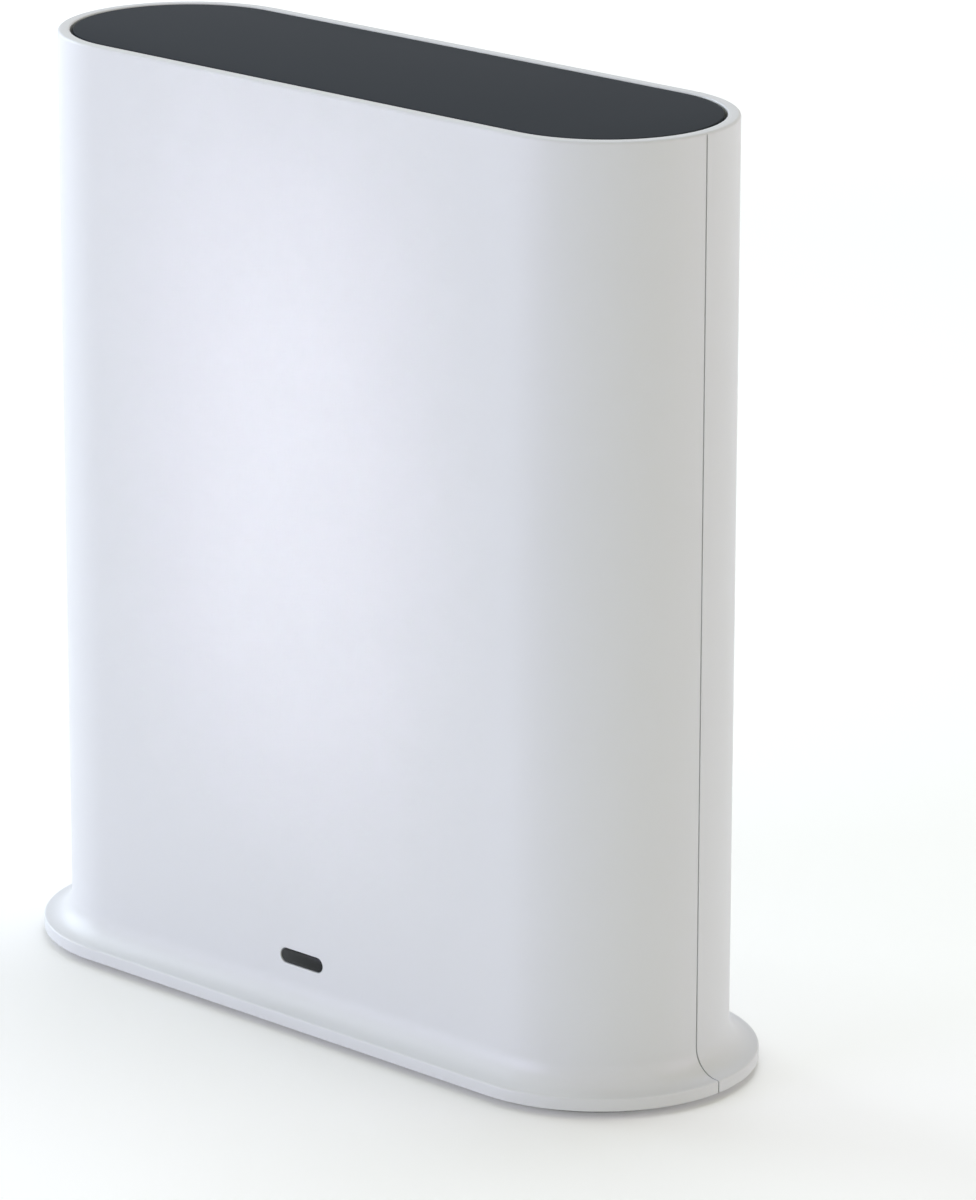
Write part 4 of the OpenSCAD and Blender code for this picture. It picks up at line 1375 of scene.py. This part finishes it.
def softbox(name, place, aim, size, watts, tint, spread=180):
    """Area lamp that faces a point, with its place and size in metres. A small spread, in degrees, is the
    grid on a strip light."""
    lamp = bpy.data.lights.new(name, "AREA")
    lamp.shape = "RECTANGLE"
    lamp.size, lamp.size_y = size
    lamp.spread = math.radians(spread)
    lamp.energy = watts
    lamp.color = tint
    holder = bpy.data.objects.new(name, lamp)
    holder.location = place
    holder.rotation_euler = (Vector(aim) - Vector(place)).to_track_quat("-Z", "Y").to_euler()
    bpy.context.scene.collection.objects.link(holder)
    return holder


def place_camera(scene, stage):
    """Camera on a sphere round its target, with a slight roll."""
    turn, rise, roll = stage.azimuth, stage.elevation, stage.roll
    back = Vector((math.sin(turn) * math.cos(rise), -math.cos(turn) * math.cos(rise), math.sin(rise)))
    right = Vector((math.cos(turn), math.sin(turn), 0))
    up = back.cross(right)
    across = right * math.cos(roll) + up * math.sin(roll)
    upward = up * math.cos(roll) - right * math.sin(roll)
    lens = bpy.data.cameras.new("photo_camera")
    lens.lens = stage.focal
    lens.sensor_width = 36
    camera = bpy.data.objects.new("photo_camera", lens)
    pose = Matrix((across, upward, back)).transposed().to_4x4()
    pose.translation = right * stage.target_right + Vector((0, 0, stage.target_up)) + back * stage.distance
    camera.matrix_world = pose
    scene.collection.objects.link(camera)
    scene.camera = camera


class STATION_OT_stage(bpy.types.Operator):
    """Set the camera, the floor and the light"""

    bl_idname = "station.stage"
    bl_label = "Stage"

    def execute(self, context):
        scene = context.scene
        stage = scene.station_stage
        place_camera(scene, stage)

        floor_reach = 6
        bm = bmesh.new()
        bmesh.ops.create_grid(bm, x_segments=8, y_segments=8, size=floor_reach)
        floor = piece_from("studio_floor", bm)
        floor.data.materials.append(floor_material(stage.lift))

        scene.world = studio_world(stage.ambient)
        aim = (0, 0, 0.07)
        softbox("back_softbox", (-0.5, 0.7, 1.4), aim, (1.2, 1.2), stage.back, (0.49, 0.54, 1))
        softbox("front_softbox", (-0.5, -1.3, 0.5), aim, (0.8, 0.8), stage.front, (0.69, 0.68, 1))
        softbox("side_softbox", (-1.2, -0.1, 0.6), aim, (0.8, 0.8), stage.side, (0.79, 0.9, 1))
        softbox("right_softbox", (1.2, 0.6, 0.5), aim, (0.8, 0.8), stage.right, (0.93, 0.78, 1))
        face = (-0.003, -END_R, 0.09)
        softbox("front_strip", (-0.2, -0.9, 0.25), face, (0.02, 0.09), stage.pool, (0.95, 0.9, 1), spread=5)
        ground = softbox("ground_softbox", (-0.1, 0.3, 1.3), aim, (0.6, 0.6), stage.ground, (0.945, 0.985, 1))
        lit = bpy.data.collections.new("lit_by_ground_softbox")
        lit.objects.link(floor)
        ground.light_linking.receiver_collection = lit
        scene.view_settings.view_transform = "Standard"
        return {"FINISHED"}


class STATION_PT_builder(bpy.types.Panel):
    """Lists the station's builders and settings"""

    bl_label = "Base Station"
    bl_idname = "STATION_PT_builder"
    bl_space_type = "VIEW_3D"
    bl_region_type = "UI"
    bl_category = "Station"

    def draw(self, context):
        for operator in OPERATORS:
            self.layout.operator(operator.bl_idname)
        for name in GROUPS:
            settings = getattr(context.scene, name)
            column = self.layout.column(align=True)
            for key in settings.bl_rna.properties.keys():
                if key not in ("rna_type", "name"):
                    column.prop(settings, key)


OPERATORS = (
    STATION_OT_shells, STATION_OT_cap, STATION_OT_base, STATION_OT_status_light, STATION_OT_sockets,
    STATION_OT_contacts, STATION_OT_buttons, STATION_OT_screws, STATION_OT_heat_sink, STATION_OT_boards,
    STATION_OT_electronics, STATION_OT_stage,
)
GROUPS = {
    "station_case": StationCase,
    "station_details": StationDetails,
    "station_colours": StationColours,
    "station_stage": StationStage,
}


def register():
    """Adds the settings, operators and panel."""
    for name, group in GROUPS.items():
        bpy.utils.register_class(group)
        setattr(bpy.types.Scene, name, PointerProperty(type=group))
    for operator in OPERATORS:
        bpy.utils.register_class(operator)
    bpy.utils.register_class(STATION_PT_builder)


def unregister():
    """Removes them again."""
    bpy.utils.unregister_class(STATION_PT_builder)
    for operator in reversed(OPERATORS):
        bpy.utils.unregister_class(operator)
    for name, group in reversed(GROUPS.items()):
        delattr(bpy.types.Scene, name)
        bpy.utils.unregister_class(group)


def main():
    """Builds every piece and the stage."""
    register()
    bpy.ops.station.shells()
    bpy.ops.station.cap()
    bpy.ops.station.base()
    bpy.ops.station.status_light()
    bpy.ops.station.sockets()
    bpy.ops.station.contacts()
    bpy.ops.station.buttons()
    bpy.ops.station.screws()
    bpy.ops.station.heat_sink()
    bpy.ops.station.boards()
    bpy.ops.station.electronics()
    bpy.ops.station.stage()


if __name__ == "__main__":
    main()
